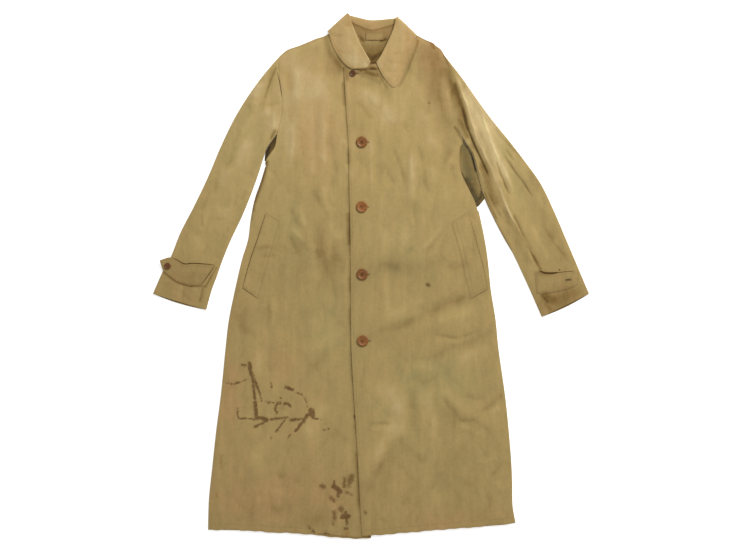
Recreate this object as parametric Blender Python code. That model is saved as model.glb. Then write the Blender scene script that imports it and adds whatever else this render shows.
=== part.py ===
"""Raincoat laid out flat on its back: buttoned fronts, two-piece sleeves, turn-down collar,
slanted welt pockets and buttoned cuff straps. Metres, +Z up, +Y towards the collar.
Left and right are the wearer's: the wearer's right lies at -X."""
import math
from collections import namedtuple

import bpy
from mathutils import Vector
from mathutils.geometry import interpolate_bezier, intersect_point_line

for item in list(bpy.data.objects):
    bpy.data.objects.remove(item)

# Cloth walls
CLOTH = 0.0012
COLLAR_CLOTH = 0.0016
WELT_CLOTH = 0.0016
STRAP_CLOTH = 0.0018
LOOP_CLOTH = 0.0012

# Clear spaces
SEAM = 0.0003           # between two pieces sewn edge to edge
REST = 0.0005           # under a piece that lies on another
INNER = 0.0016          # inside the flattened body and sleeves
TURN = CLOTH + INNER / 2            # outer radius where a panel folds under
ROLL = 2 * COLLAR_CLOTH + 0.001     # height of the rolled-over collar
NECK_LIFT = ROLL - COLLAR_CLOTH     # rise of the back over the collar lying under it

# Seams that the folds hide
SIDE_UNDER = 0.022      # the front reaches this far under the body
SLEEVE_FRONT = 0.018    # forearm seam, in from the sleeve's inner fold
SLEEVE_NOTCH = 0.045    # more of that at the armhole
SLEEVE_BACK = 0.020     # elbow seam, under the sleeve's outer fold
CUFF_REACH = 0.004      # the under cuff shows this far past the upper one
HEAD_EASE = 0.0016      # the sleeve's folds stand off the ends of the armhole

# Mesh counts
SIDE_ROWS, ARM_ROWS = 23, 10
SHOULDER_COLUMNS = 5
SLEEVE_ROWS = 20
ARC = 3
LOBE_STATIONS, TAB_STATIONS = 9, 4

# Buttons
FRONT_BUTTON, SMALL_BUTTON = 0.026, 0.016
BUTTON_SIDES, HOLE_SIDES = 16, 6
HOLE_RADIUS, HOLE_PITCH = 0.050, 0.115      # share of the diameter

KHAKI = (0.38, 0.27, 0.11)
TAN = (0.42, 0.27, 0.14)
BROWN = (0.16, 0.05, 0.025)


def plan(*pairs):
    """Points of a cutting line seen from above, given as x, y in millimetres."""
    return [Vector((x / 1000, y / 1000)) for x, y in pairs]


# Body lines, each from hem or underarm upwards
SIDE_RIGHT = plan((-375, -584), (-373, -515), (-366, -446), (-356, -354), (-345, -269),
                  (-334, -159), (-327, -101), (-313, -32), (-297, 37), (-283, 83),
                  (-276, 129), (-267, 175), (-254, 216), (-241, 252))
SIDE_LEFT = plan((333, -568), (326, -527), (325, -469), (321, -400), (310, -285),
                 (294, -170), (287, -101), (276, -32), (269, 37), (262, 83),
                 (252, 132), (247, 152), (243, 166))
FRONT_EDGE_RIGHT = plan((-234, 264), (-221, 288), (-212, 308), (-208, 325))
FRONT_EDGE_LEFT = plan((236, 178), (208, 236), (203, 275), (205, 304), (199, 338))
BACK_CORNER_RIGHT = plan((-243, 266))
BACK_CORNER_LEFT = plan((249, 174))
ARMHOLE_RIGHT = plan((-208, 327), (-205, 348), (-203, 378), (-205, 416), (-211, 460), (-212, 504))
ARMHOLE_LEFT = plan((198, 340), (202, 370), (200, 416), (189, 462), (170, 506))
SHOULDER_RIGHT = plan((-101, 555), (-126, 546), (-145, 538), (-168, 529),
                      (-193, 520), (-212, 504))
SHOULDER_LEFT = plan((97, 548), (108, 543), (122, 544), (142, 538), (148, 530),
                     (161, 520), (170, 506))
LAP_CORNER_LEFT = plan((-60, 481), (-43, 474))
LAP_CORNER_RIGHT = plan((2, 467))
LAP_EDGE_LEFT = plan((-23, -598), (-30, -492), (-36, -377), (-39, -285), (-43, -147), (-44, 5),
                     (-46, 106), (-48, 198), (-49, 308), (-53, 382), (-57, 451), (-60, 481))
LAP_EDGE_RIGHT = plan((0, -603), (7, -400), (12, -147), (12, 159), (9, 308), (6, 405), (2, 467))
HEM_RIGHT = plan((0, -603), (-44, -604), (-94, -600), (-163, -593), (-232, -590),
                 (-301, -585), (-375, -584))
HEM_LEFT = plan((-23, -598), (7, -597), (67, -592), (159, -584), (251, -577), (333, -568))
CENTRE_BACK = plan((-2, -590), (0, -300), (1, 0), (0, 300))
BACK_HEM_RIGHT = plan((-2, -590), (-160, -588), (-350, -583))
BACK_HEM_LEFT = plan((-2, -590), (150, -584), (306, -570))

# Sleeve sections from armhole to cuff: outer fold and inner fold, millimetres
Section = namedtuple("Section", "outer_x outer_y inner_x inner_y")
SLEEVE_RIGHT = [Section(*row) for row in (
    (-212, 504, -208, 327), (-248, 462, -234, 297), (-283, 414, -252, 264),
    (-315, 361, -266, 225), (-345, 299, -283, 179), (-375, 228, -301, 131),
    (-407, 161, -324, 83), (-437, 103, -343, 37), (-460, 46, -356, 0),
    (-481, 7, -368, -34), (-502, -41, -378, -78))]
SLEEVE_LEFT = [Section(*row) for row in (
    (170, 506, 198, 340), (205, 462, 218, 306), (239, 414, 235, 274),
    (276, 363, 248, 225), (315, 315, 262, 177), (352, 267, 283, 131),
    (391, 212, 306, 87), (421, 150, 327, 51), (448, 87, 347, 9),
    (476, 21, 368, -37), (502, -41, 393, -94))]

# Collar stations: roll line, outer edge, stand height and the part of it that the fall makes
Station = namedtuple("Station", "roll_x roll_y edge_x edge_y stand turned_in")
COLLAR_RIGHT = [Station(*row) for row in (
    (-2, 491, -37, 474, 16, 1), (-12, 508, -53, 482, 22, 4), (-28, 538, -71, 500, 28, 6),
    (-42, 570, -87, 527, 30, 8), (-51, 599, -98, 560, 32, 10))]
COLLAR_BACK = [Station(*row) for row in (
    (-51, 599, -98, 560, 32, 10), (-25, 592, -48, 529, 43, 18), (0, 587, -1, 520, 46, 20),
    (32, 589, 56, 526, 43, 18), (58, 592, 103, 547, 32, 10))]
COLLAR_LEFT = [Station(*row) for row in (
    (58, 592, 103, 547, 32, 10), (52, 566, 91, 508, 30, 8), (39, 536, 77, 470, 28, 6),
    (24, 506, 64, 443, 22, 4), (13, 490, 49, 430, 16, 1))]
STAND_TAB = [Station(*row) for row in (
    (13, 490, 49, 430, 16, 1), (2, 488, 6, 438, 16, 1), (-10, 486, -12, 436, 14, 1),
    (-24, 480, -28, 430, 9, 1))]

# Large soft folds of the upper layer: a crest from end to end, millimetres
Fold = namedtuple("Fold", "x1 y1 x2 y2 half_width height")
FOLDS = [Fold(*row) for row in (
    (-163, 440, -172, 215, 30, 3.6), (-105, 380, -110, 235, 26, 2.2),
    (-190, 22, -85, 58, 26, 2.8), (-250, -150, -272, -520, 34, 3.4),
    (-140, -130, -150, -520, 32, 2.8), (-205, -90, -120, -60, 24, 2.2),
    (128, 405, 100, 185, 30, 3.4), (40, -134, 195, -102, 27, 3.4),
    (165, -284, 255, -345, 26, 3.4), (55, -390, 45, -480, 26, 2.4),
    (228, -400, 245, -520, 30, 2.8), (75, 30, 150, 5, 28, 2.6),
    (262, 330, 322, 154, 20, 5.0), (322, 154, 366, 52, 18, 4.2),
    (356, 225, 390, 160, 18, 3.2),
    (-275, 395, -330, 240, 22, 4.4), (-330, 240, -385, 110, 22, 3.4))]

# Pocket welts: outer and inner edge, top to bottom, and cuff straps: upper and lower edge
WELT_RIGHT = (plan((-242, 144), (-258, 93), (-279, 31), (-295, -27)),
              plan((-208, 124), (-222, 82), (-240, 20), (-259, -53)))
WELT_LEFT = (plan((224, 146), (241, 83), (259, 18), (268, -30)),
             plan((184, 122), (202, 64), (216, 0), (229, -53)))
STRAP_RIGHT = (plan((-359, 25), (-407, 28), (-430, 27), (-448, 37), (-463, 43), (-486, 36)),
               plan((-391, -21), (-410, -23), (-428, -21), (-448, -13), (-462, -3), (-479, 13)))
STRAP_LEFT = (plan((376, 10), (397, 5), (421, 4), (438, 8), (473, 10), (477, 2)),
              plan((381, -39), (397, -41), (421, -37), (446, -32), (470, -23), (477, -14)))

# Buttons: centre, diameter
Button = namedtuple("Button", "name x y diameter")
BUTTONS = [Button("button_1", -42, 463, SMALL_BUTTON), Button("button_2", -21, 308, FRONT_BUTTON),
           Button("button_3", -23, 159, FRONT_BUTTON), Button("button_4", -23, 5, FRONT_BUTTON),
           Button("button_5", -21, -147, FRONT_BUTTON), Button("cuff_button", -465, 22, SMALL_BUTTON)]


def mix(a, b, t):
    return a * (1 - t) + b * t


def ramp(t):
    """0 below 0, 1 above 1, smooth between."""
    t = min(max(t, 0.0), 1.0)
    return t * t * (3 - 2 * t)


def track(points, count):
    """Evenly spaced points along a smooth curve through the given ones."""
    dense = [points[0]]
    last = len(points) - 1
    for k in range(last):
        here, there = points[k], points[k + 1]
        out = here + (there - points[max(k - 1, 0)]) / 6
        back = there - (points[min(k + 2, last)] - here) / 6
        dense += interpolate_bezier(here, out, back, there, 13)[1:]
    lengths = [0.0]
    for a, b in zip(dense, dense[1:]):
        lengths.append(lengths[-1] + (b - a).length)
    result = []
    k = 0
    for step in range(count):
        goal = lengths[-1] * step / (count - 1)
        while k < len(dense) - 2 and lengths[k + 1] < goal:
            k += 1
        share = (goal - lengths[k]) / max(lengths[k + 1] - lengths[k], 1e-9)
        result.append(mix(dense[k], dense[k + 1], share))
    return result


def distance(p, line):
    """How far a point is from a polyline."""
    best = 1.0
    for a, b in zip(line, line[1:]):
        foot, share = intersect_point_line(p, a, b)
        foot = mix(a, b, min(max(share, 0.0), 1.0))
        best = min(best, (p - foot.to_2d()).length)
    return best


def x_at(line, y):
    """Where an upright line crosses a height."""
    for a, b in zip(line, line[1:]):
        if y <= b.y or b is line[-1]:
            return mix(a.x, b.x, (y - a.y) / (b.y - a.y))


# Heights of the layers, seen from above
def fold_height(p):
    """Height of the folds at a point; where two run together the higher one counts."""
    total = 0.0
    for fold in FOLDS:
        ends = plan((fold.x1, fold.y1), (fold.x2, fold.y2))
        share = math.exp(-(distance(p, ends) * 1000 / fold.half_width) ** 2)
        total += (fold.height / 1000 * share) ** 4
    return total ** 0.25


def lower(p):
    """Floor side of the back, which rises over the collar."""
    reach = Vector(((p.x - 0.003) / 0.128, (p.y - 0.570) / 0.062)).length
    return NECK_LIFT * (1 - ramp((reach - 1.0) / 0.6))


def upper(p, folds=1.0):
    """Inner side of the layer that lies on the back."""
    return lower(p) + CLOTH + INNER + folds * fold_height(p)


def lap(p):
    """Rise of the left front over the right one along the buttons."""
    start = ramp((p.x - x_at(LAP_EDGE_LEFT, p.y) + 0.020) / 0.018)
    end = ramp((x_at(LAP_EDGE_RIGHT, p.y) + 0.036 - p.x) / 0.030)
    return (CLOTH + REST) * start * end


def top(p):
    """Face side of the fronts."""
    return upper(p) + lap(p) + CLOTH


def cloth(name, rows, thickness, colour, faces_up):
    """A sewn piece: its face-side points row by row, given an inward wall.
    faces_up tells which way the first cell's face side looks."""
    points = [p for row in rows for p in row]
    starts = [sum(len(row) for row in rows[:i]) for i in range(len(rows))]
    faces = []
    for i in range(len(rows) - 1):
        for j in range(min(len(rows[i]), len(rows[i + 1])) - 1):
            a, b = starts[i] + j, starts[i + 1] + j
            faces.append((a, a + 1, b + 1, b))
    a, b, c, _ = faces[0]
    side = (points[b] - points[a]).cross(points[c] - points[a]).z
    if (side > 0) != faces_up:
        faces = [tuple(reversed(face)) for face in faces]
    mesh = bpy.data.meshes.new(name)
    mesh.from_pydata(points, [], faces)
    mesh.shade_smooth()
    piece = bpy.data.objects.new(name, mesh)
    bpy.context.collection.objects.link(piece)
    wall = piece.modifiers.new("wall", "SOLIDIFY")
    wall.thickness = thickness
    wall.offset = -1
    finish(piece, colour, 0.85)
    return piece


def finish(piece, colour, roughness):
    material = bpy.data.materials.new(piece.name)
    material.use_nodes = True
    shader = material.node_tree.nodes["Principled BSDF"]
    shader.inputs["Base Color"].default_value = (*colour, 1)
    shader.inputs["Roughness"].default_value = roughness
    shader.inputs["Metallic"].default_value = 0.0
    piece.data.materials.append(material)


def patch(hem, head, inner, outer):
    """Plan points of a panel between its four cut edges, hem row first."""
    rows = []
    for i, (a, b) in enumerate(zip(inner, outer)):
        v = i / (len(inner) - 1)
        row = []
        for j, (c, d) in enumerate(zip(hem, head)):
            u = j / (len(hem) - 1)
            corners = mix(mix(hem[0], hem[-1], u), mix(head[0], head[-1], u), v)
            row.append(mix(a, b, u) + mix(c, d, v) - corners)
        rows.append(row)
    return rows


def inward(line, towards):
    """Unit vectors square to a line, on the side of the given x."""
    result = []
    for k in range(len(line)):
        along = line[min(k + 1, len(line) - 1)] - line[max(k - 1, 0)]
        across = Vector((along.y, -along.x)).normalized()
        result.append(across if across.x * (towards - line[k].x) > 0 else -across)
    return result


def collar_stations(table, count):
    """Evenly spaced stations: roll point, direction to the edge, width, stand height, turn-in."""
    roll = track(plan(*((s.roll_x, s.roll_y) for s in table)), count)
    edge = track(plan(*((s.edge_x, s.edge_y) for s in table)), count)
    sizes = track(plan(*((s.stand, s.turned_in) for s in table)), count)
    return [(a, (b - a).normalized(), (b - a).length, size.x, size.y)
            for a, b, size in zip(roll, edge, sizes)]


def neck_seam(stations):
    """The line where the collar's stand meets the panels."""
    return [roll + across * stand for roll, across, width, stand, turned_in in stations]


def body_half(side, outline, front_edge, back_corner, sections, armhole, shoulder, neck, lap_edge,
              hem, back_neck, back_hem):
    """One front, folded under along the side, and the half back that it meets there."""
    upright = track(outline, SIDE_ROWS)
    inwards = inward(upright, 0.0)
    fold = [p + n * TURN for p, n in zip(upright, inwards)]
    armholes = track(armhole, ARM_ROWS)
    shoulders = track([neck[-1]] + shoulder, SHOULDER_COLUMNS + 1)
    sleeve_fold = track(plan(*((s.inner_x, s.inner_y) for s in sections)), SLEEVE_ROWS)
    beside = [p + n * SEAM for p, n in zip(sleeve_fold, inward(sleeve_fold, 0.0))]
    back_edge = back_corner + [p for p in beside[:0:-1] if p.y > back_corner[0].y + 0.012]

    edge = track([fold[-1]] + front_edge, len(back_edge) + 1)[1:]
    outer = fold + edge + armholes
    head = neck + shoulders[1:]
    lower_hem = track(hem[:-1] + [fold[0]], len(head))
    rows = []
    for i, plan_row in enumerate(patch(lower_hem, head, track(lap_edge, len(outer)), outer)):
        row = []
        for p in plan_row:
            off_shoulder = distance(p, shoulders)
            calm = ramp(off_shoulder / 0.03) * ramp(distance(p, upright) / 0.03)
            sink = (INNER - REST) * (1 - ramp(off_shoulder / 0.014))
            height = upper(p, calm) + CLOTH - sink
            height += lap(p) if side == "left" else 0.0
            row.append(Vector((p.x, p.y, height)))
        if i < SIDE_ROWS:
            for k in range(1, ARC + 1):
                turn = math.pi * k / ARC
                p = fold[i] - inwards[i] * TURN * math.sin(turn)
                row.append(Vector((p.x, p.y, TURN + TURN * math.cos(turn))))
            for share in (0.5, 1.0):
                p = fold[i] + inwards[i] * SIDE_UNDER * share
                row.append(Vector((p.x, p.y, 0.0)))
        rows.append(row)
    cloth("front_" + side, rows, CLOTH, KHAKI, True)

    seam = [p + n * (SIDE_UNDER + SEAM) for p, n in zip(fold, inwards)]
    outer = seam + back_edge + armholes
    head = back_neck + shoulders[1:]
    lower_hem = track(back_hem[:-1] + [seam[0]], len(head))
    gap = Vector((SEAM / 2 if side == "left" else -SEAM / 2, 0))
    middle = [p + gap for p in track(CENTRE_BACK + [back_neck[0]], len(outer))]
    rows = [[Vector((p.x, p.y, lower(p))) for p in plan_row]
            for plan_row in patch(lower_hem, head, middle, outer)]
    cloth("back_" + side, rows, CLOTH, KHAKI, False)


def sleeve(side, sections, armhole):
    """A flattened tube of two pieces, sewn along the forearm and under the elbow."""
    outer = track(plan(*((s.outer_x, s.outer_y) for s in sections)), SLEEVE_ROWS)
    inner = track(plan(*((s.inner_x, s.inner_y) for s in sections)), SLEEVE_ROWS)
    head = track(armhole, ARM_ROWS)[::-1]
    away_from_body = inward(head, 1.0 if side == "left" else -1.0)
    seam = [p + n * SEAM for p, n in zip(head, away_from_body)]
    girth = (inner[0] - outer[0]).length
    knots = [girth * k / (ARM_ROWS - 1) for k in range(ARM_ROWS)]
    upper_rows, under_rows = [], []
    for i, (far, near) in enumerate(zip(outer, inner)):
        width = (near - far).length
        swell = max(0.0, 1 - i / 5) ** 2
        outer_fold, inner_fold = TURN, width - TURN
        forearm, elbow = inner_fold - SLEEVE_FRONT - SLEEVE_NOTCH * swell, outer_fold + SLEEVE_BACK
        if i == 0:
            upper_shares = [(k - outer_fold) / (forearm - outer_fold) for k in knots
                            if outer_fold < k < forearm]
            under_shares = [(k - elbow) / (inner_fold - elbow) for k in knots
                            if elbow < k < inner_fold]
            turned_shares = [(k - inner_fold) / (forearm - inner_fold) for k in knots
                             if forearm < k < inner_fold]
            elbow_share = (knots[1] - outer_fold) / SLEEVE_BACK
        before, after = max(i - 1, 0), min(i + 1, SLEEVE_ROWS - 1)
        along = (outer[after] + inner[after] - outer[before] - inner[before]).normalized()

        def place(inset):
            """Plan point at a distance from the outer fold."""
            u = inset / width
            k = min(int(u * (ARM_ROWS - 1)), ARM_ROWS - 2)
            sewn = mix(seam[k], seam[k + 1], u * (ARM_ROWS - 1) - k)
            ends = ramp(1 - inset / 0.018) + ramp(1 - (width - inset) / 0.018)
            sewn += away_from_body[k] * HEAD_EASE * ends
            return mix(far, near, u) + swell * (sewn - mix(head[0], head[-1], u))

        def face(inset):
            p = place(inset)
            calm = ramp(inset / 0.028) * ramp((width - inset) / 0.028)
            return Vector((p.x, p.y, upper(p, calm) + CLOTH))

        def floor(inset):
            reach = CUFF_REACH * math.sin(math.pi * inset / width) * (i == SLEEVE_ROWS - 1)
            p = place(inset) + along * reach
            return Vector((p.x, p.y, 0.0))

        def turned(inset, tip, rising):
            """Points round a fold, without its first one."""
            p = place(inset)
            away = (place(tip) - p).normalized()
            for k in range(1, ARC + 1):
                turn = math.pi * k / ARC
                q = p + away * TURN * math.sin(turn)
                yield Vector((q.x, q.y, TURN - rising * TURN * math.cos(turn)))

        row = [face(mix(outer_fold, forearm, share)) for share in [1.0] + upper_shares[::-1] + [0.0]]
        row += turned(outer_fold, 0.0, -1)
        row += [floor(mix(outer_fold, elbow, elbow_share)), floor(elbow)]
        upper_rows.append(row)
        row = [floor(mix(elbow + SEAM, inner_fold, share)) for share in [0.0] + under_shares + [1.0]]
        row += turned(inner_fold, width, 1)
        row += [face(mix(inner_fold, forearm, share)) for share in turned_shares[::-1]]
        under_rows.append(row)
    forearm_seam = [row[0] for row in upper_rows]
    for p, n, row in zip(forearm_seam, inward(forearm_seam, 0.0), under_rows):
        row.append(p + n.to_3d() * SEAM)
    cloth("sleeve_top_" + side, upper_rows, CLOTH, KHAKI, True)
    cloth("sleeve_under_" + side, under_rows, CLOTH, KHAKI, False)


def collar_piece(name, section, tab, start):
    """A band round the neck, pressed flat: the front runs on top, the back under it.
    section gives points (distance from the roll line, depth below the face) of a station."""
    lobe_right = RIGHT_STATIONS[start:]
    behind = BACK_STATIONS
    lobe_left = LEFT_STATIONS
    end = TAB if tab else []

    def above(station):
        row = []
        for a, depth in section(station):
            p = station[0] + station[1] * a
            row.append(Vector((p.x, p.y, upper(p) + lap(p) + REST + ROLL - depth)))
        return row

    def below(station):
        row = []
        for a, depth in section(station):
            p = station[0] + station[1] * a
            row.append(Vector((p.x, p.y, depth)))
        return row

    def corner(station, away):
        """Rows where the band turns from the front to the back."""
        for k in range(1, ARC):
            turn = math.pi * k / ARC
            row = []
            for high, low in zip(above(station), below(station)):
                radius = (high.z - low.z) / 2
                centre = (high + low) / 2
                row.append(centre + away * radius * math.sin(turn)
                           + Vector((0, 0, radius * math.cos(turn))))
            yield row

    outwards = Vector((-0.64, 0.77, 0)), Vector((0.707, 0.707, 0))
    rows = [above(s) for s in lobe_right]
    rows += corner(lobe_right[-1], outwards[0])
    rows += [below(s) for s in behind]
    rows += reversed(list(corner(lobe_left[0], outwards[1])))
    rows += [above(s) for s in lobe_left + end]
    cloth(name, rows, COLLAR_CLOTH, TAN, False)


def fall_section(station):
    roll, across, width, stand, turned_in = station
    points = [(turned_in, ROLL)]
    for k in range(ARC + 1):
        turn = math.pi * k / ARC
        points.append((-ROLL / 2 * math.sin(turn), ROLL / 2 + ROLL / 2 * math.cos(turn)))
    return points + [(width * share, 0.0) for share in (0.2, 0.4, 0.6, 0.8, 1.0)]


def stand_section(station):
    roll, across, width, stand, turned_in = station
    start = turned_in + SEAM
    return [(mix(start, stand - SEAM, k / 3), ROLL) for k in range(4)]


def applied(name, edges, columns, rows, thickness, colour):
    """A strip laid on a panel, made from the panel's own face points moved out."""
    first, second = (track(edge, rows + 1) for edge in edges)
    grid = []
    for a, b in zip(first, second):
        line = [mix(a, b, k / columns) for k in range(columns + 1)]
        grid.append([Vector((p.x, p.y, top(p) + REST + thickness)) for p in line])
    return cloth(name, grid, thickness, colour, True)


def button_mesh(diameter):
    """A dished button with a rounded rim and four holes."""
    profile = ((0.40, 0.0), (0.49, 0.035), (0.50, 0.075), (0.46, 0.125), (0.36, 0.130),
               (0.30, 0.095))
    points, faces = [], []
    for radius, height in profile:
        for k in range(BUTTON_SIDES):
            turn = 2 * math.pi * k / BUTTON_SIDES
            points.append((radius * diameter * math.cos(turn), radius * diameter * math.sin(turn),
                           height * diameter))
    for ring in range(len(profile) - 1):
        for k in range(BUTTON_SIDES):
            a, b = ring * BUTTON_SIDES + k, ring * BUTTON_SIDES + (k + 1) % BUTTON_SIDES
            faces.append((a, b, b + BUTTON_SIDES, a + BUTTON_SIDES))
    faces.append(tuple(reversed(range(BUTTON_SIDES))))
    faces.append(tuple(range((len(profile) - 1) * BUTTON_SIDES, len(profile) * BUTTON_SIDES)))
    mesh = bpy.data.meshes.new("button_blank")
    mesh.from_pydata(points, [], faces)
    blank = bpy.data.objects.new("button_blank", mesh)
    bpy.context.collection.objects.link(blank)
    drills = []
    for x, y in ((1, 1), (-1, 1), (-1, -1), (1, -1)):
        bpy.ops.mesh.primitive_cylinder_add(
            vertices=HOLE_SIDES, radius=HOLE_RADIUS * diameter, depth=diameter,
            location=(x * HOLE_PITCH * diameter / 2 * 1.3, y * HOLE_PITCH * diameter / 2 * 1.3, 0))
        drill = bpy.context.object
        drill.hide_render = True
        drill.display_type = "WIRE"
        cut = blank.modifiers.new("hole", "BOOLEAN")
        cut.object = drill
        drills.append(drill)
    graph = bpy.context.evaluated_depsgraph_get()
    result = bpy.data.meshes.new_from_object(blank.evaluated_get(graph))
    for item in drills + [blank]:
        bpy.data.objects.remove(item)
    result.shade_smooth()
    result.set_sharp_from_angle(angle=math.radians(40))
    return result


# Sewn pieces
RIGHT_STATIONS = collar_stations(COLLAR_RIGHT, LOBE_STATIONS)
BACK_STATIONS = collar_stations(COLLAR_BACK, LOBE_STATIONS)
LEFT_STATIONS = collar_stations(COLLAR_LEFT, LOBE_STATIONS)
TAB = collar_stations(STAND_TAB, TAB_STATIONS)[1:]
neck_right = LAP_CORNER_RIGHT + neck_seam(RIGHT_STATIONS)
neck_left = LAP_CORNER_LEFT + neck_seam(TAB[::-1] + LEFT_STATIONS[::-1])
neck_back = neck_seam(BACK_STATIONS)
body_half("right", SIDE_RIGHT, FRONT_EDGE_RIGHT, BACK_CORNER_RIGHT, SLEEVE_RIGHT, ARMHOLE_RIGHT,
          SHOULDER_RIGHT, neck_right, LAP_EDGE_RIGHT, HEM_RIGHT,
          neck_back[LOBE_STATIONS // 2::-1], BACK_HEM_RIGHT)
body_half("left", SIDE_LEFT, FRONT_EDGE_LEFT, BACK_CORNER_LEFT, SLEEVE_LEFT, ARMHOLE_LEFT,
          SHOULDER_LEFT, neck_left, LAP_EDGE_LEFT, HEM_LEFT,
          neck_back[LOBE_STATIONS // 2:], BACK_HEM_LEFT)
sleeve("right", SLEEVE_RIGHT, ARMHOLE_RIGHT)
sleeve("left", SLEEVE_LEFT, ARMHOLE_LEFT)
collar_piece("collar_fall", fall_section, False, 0)
collar_piece("collar_stand", stand_section, True, 3)
applied("pocket_welt_right", WELT_RIGHT, 2, 9, WELT_CLOTH, KHAKI)
applied("pocket_welt_left", WELT_LEFT, 2, 9, WELT_CLOTH, KHAKI)
applied("cuff_strap_right", STRAP_RIGHT, 3, 10, STRAP_CLOTH, TAN)
applied("cuff_strap_left", STRAP_LEFT, 3, 9, STRAP_CLOTH, TAN)

# Plain loop sewn to the inside of the stand
loop_rows = []
for step in range(7):
    x = mix(-0.012, 0.029, step / 6)
    arch = 0.0012 * math.sin(math.pi * step / 6)
    loop_rows.append([Vector((x, y, ROLL + REST + LOOP_CLOTH + arch)) for y in (0.543, 0.551, 0.559)])
cloth("neck_loop", loop_rows, LOOP_CLOTH, KHAKI, True)

# Buttons
meshes = {size: button_mesh(size) for size in (FRONT_BUTTON, SMALL_BUTTON)}
for entry in BUTTONS:
    mesh = meshes[entry.diameter].copy()
    piece = bpy.data.objects.new(entry.name, mesh)
    bpy.context.collection.objects.link(piece)
    centre = Vector((entry.x / 1000, entry.y / 1000))
    strap = STRAP_CLOTH + REST if entry.name == "cuff_button" else 0.0
    around = [centre + Vector((math.cos(k), math.sin(k))) * entry.diameter / 2 for k in range(7)]
    piece.location = (*centre, max(top(p) for p in around) + REST + strap)
    finish(piece, BROWN, 0.35)
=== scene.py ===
# %% [markdown]
# # A raincoat laid out flat
# This lesson dresses the solids of a long gabardine raincoat. The coat lies on its back,
# buttoned, with its sleeves spread. The solids give the cut, the layers and the large folds.
# Here each panel becomes a thin wall of cloth on nearly the same cutting lines, with its
# creases, fading, painted shade and highlights, stains, stitches and buttons.

# %% Frame
import math
from collections import namedtuple

import bpy
import numpy as np
from mathutils import Matrix


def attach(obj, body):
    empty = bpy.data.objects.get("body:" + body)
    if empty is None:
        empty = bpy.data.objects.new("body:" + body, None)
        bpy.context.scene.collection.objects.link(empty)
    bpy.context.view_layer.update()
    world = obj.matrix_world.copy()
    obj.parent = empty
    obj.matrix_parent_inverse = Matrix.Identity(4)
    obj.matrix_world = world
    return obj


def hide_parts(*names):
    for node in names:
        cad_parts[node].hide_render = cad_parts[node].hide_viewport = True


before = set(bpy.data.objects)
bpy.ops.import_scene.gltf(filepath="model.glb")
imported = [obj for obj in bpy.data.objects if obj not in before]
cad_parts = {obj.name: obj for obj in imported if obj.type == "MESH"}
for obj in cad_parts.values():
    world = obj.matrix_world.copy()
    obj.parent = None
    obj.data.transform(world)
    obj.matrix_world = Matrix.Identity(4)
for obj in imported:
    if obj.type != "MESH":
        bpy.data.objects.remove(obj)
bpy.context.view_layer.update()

# %% [markdown]
# ## Where things are
# The picture looks straight down on the coat, so one point of the picture is always the same
# length on the cloth: 2.3 mm, from the front buttons, which are 26 mm across. Creases and stains
# are placed by picture points, while the cutting lines are in millimetres, as on a pattern.

# %% Plan points
PIXEL = 0.0023
PICTURE = (740, 557)
ZERO = (371, 276)           # picture point over the frame's origin


def seen(*pairs):
    """Plan points, in metres, of points read off the picture."""
    return np.array([((x - ZERO[0]) * PIXEL, (ZERO[1] - y) * PIXEL) for x, y in pairs])


def plan(*pairs):
    """Plan points, in metres, of pattern points in millimetres."""
    return np.array(pairs, float) / 1000


print("picture covers", [round(n * PIXEL, 3) for n in PICTURE], "m")

# %% [markdown]
# ## Camera
# A camera with no turn looks straight down with +Y up in the picture. A long lens from high up
# keeps the thin layers from leaning outwards near the edges of the picture.

# %% Camera
LENS, SENSOR = 110, 36
CLOTH_LEVEL = 0.006
camera = bpy.data.objects.new("camera", bpy.data.cameras.new("camera"))
camera.data.lens = LENS
camera.data.sensor_width = SENSOR
camera.location = (*seen((PICTURE[0] / 2, PICTURE[1] / 2))[0],
                   CLOTH_LEVEL + PICTURE[0] * PIXEL * LENS / SENSOR)
bpy.context.collection.objects.link(camera)
scene = bpy.context.scene
scene.camera = camera
scene.view_settings.view_transform = "Standard"
print("camera height:", round(camera.location.z, 2), "m")

# %% [markdown]
# ## Curves and distances
# Cutting lines are smooth curves through a few points. Each segment is a cubic whose handles
# come from the neighbouring points, and the curve is then stepped off evenly. The distance of
# many points from a line is needed again and again, for folds, seams, stains and worn edges, so
# it is worked out for whole arrays at once.

# %% Curve helpers
def mix(a, b, t):
    return a * (1 - t) + b * t


def ramp(t):
    """0 below 0, 1 above 1, smooth between."""
    t = np.clip(t, 0.0, 1.0)
    return t * t * (3 - 2 * t)


def track(points, count):
    """Evenly spaced points along a smooth curve through the given ones."""
    points = np.asarray(points, float)
    last = len(points) - 1
    t = np.linspace(0, 1, 25)[1:, None]
    dense = [points[:1]]
    for k in range(last):
        here, there = points[k], points[k + 1]
        out = here + (there - points[max(k - 1, 0)]) / 6
        back = there - (points[min(k + 2, last)] - here) / 6
        dense.append(here * (1 - t) ** 3 + 3 * out * t * (1 - t) ** 2
                     + 3 * back * t * t * (1 - t) + there * t ** 3)
    dense = np.vstack(dense)
    passed = np.append(0, np.cumsum(np.linalg.norm(np.diff(dense, axis=0), axis=1)))
    goals = np.linspace(0, passed[-1], count)
    return np.stack([np.interp(goals, passed, column) for column in dense.T], axis=1)


def line_length(line):
    return float(np.linalg.norm(np.diff(line, axis=0), axis=1).sum())


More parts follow.
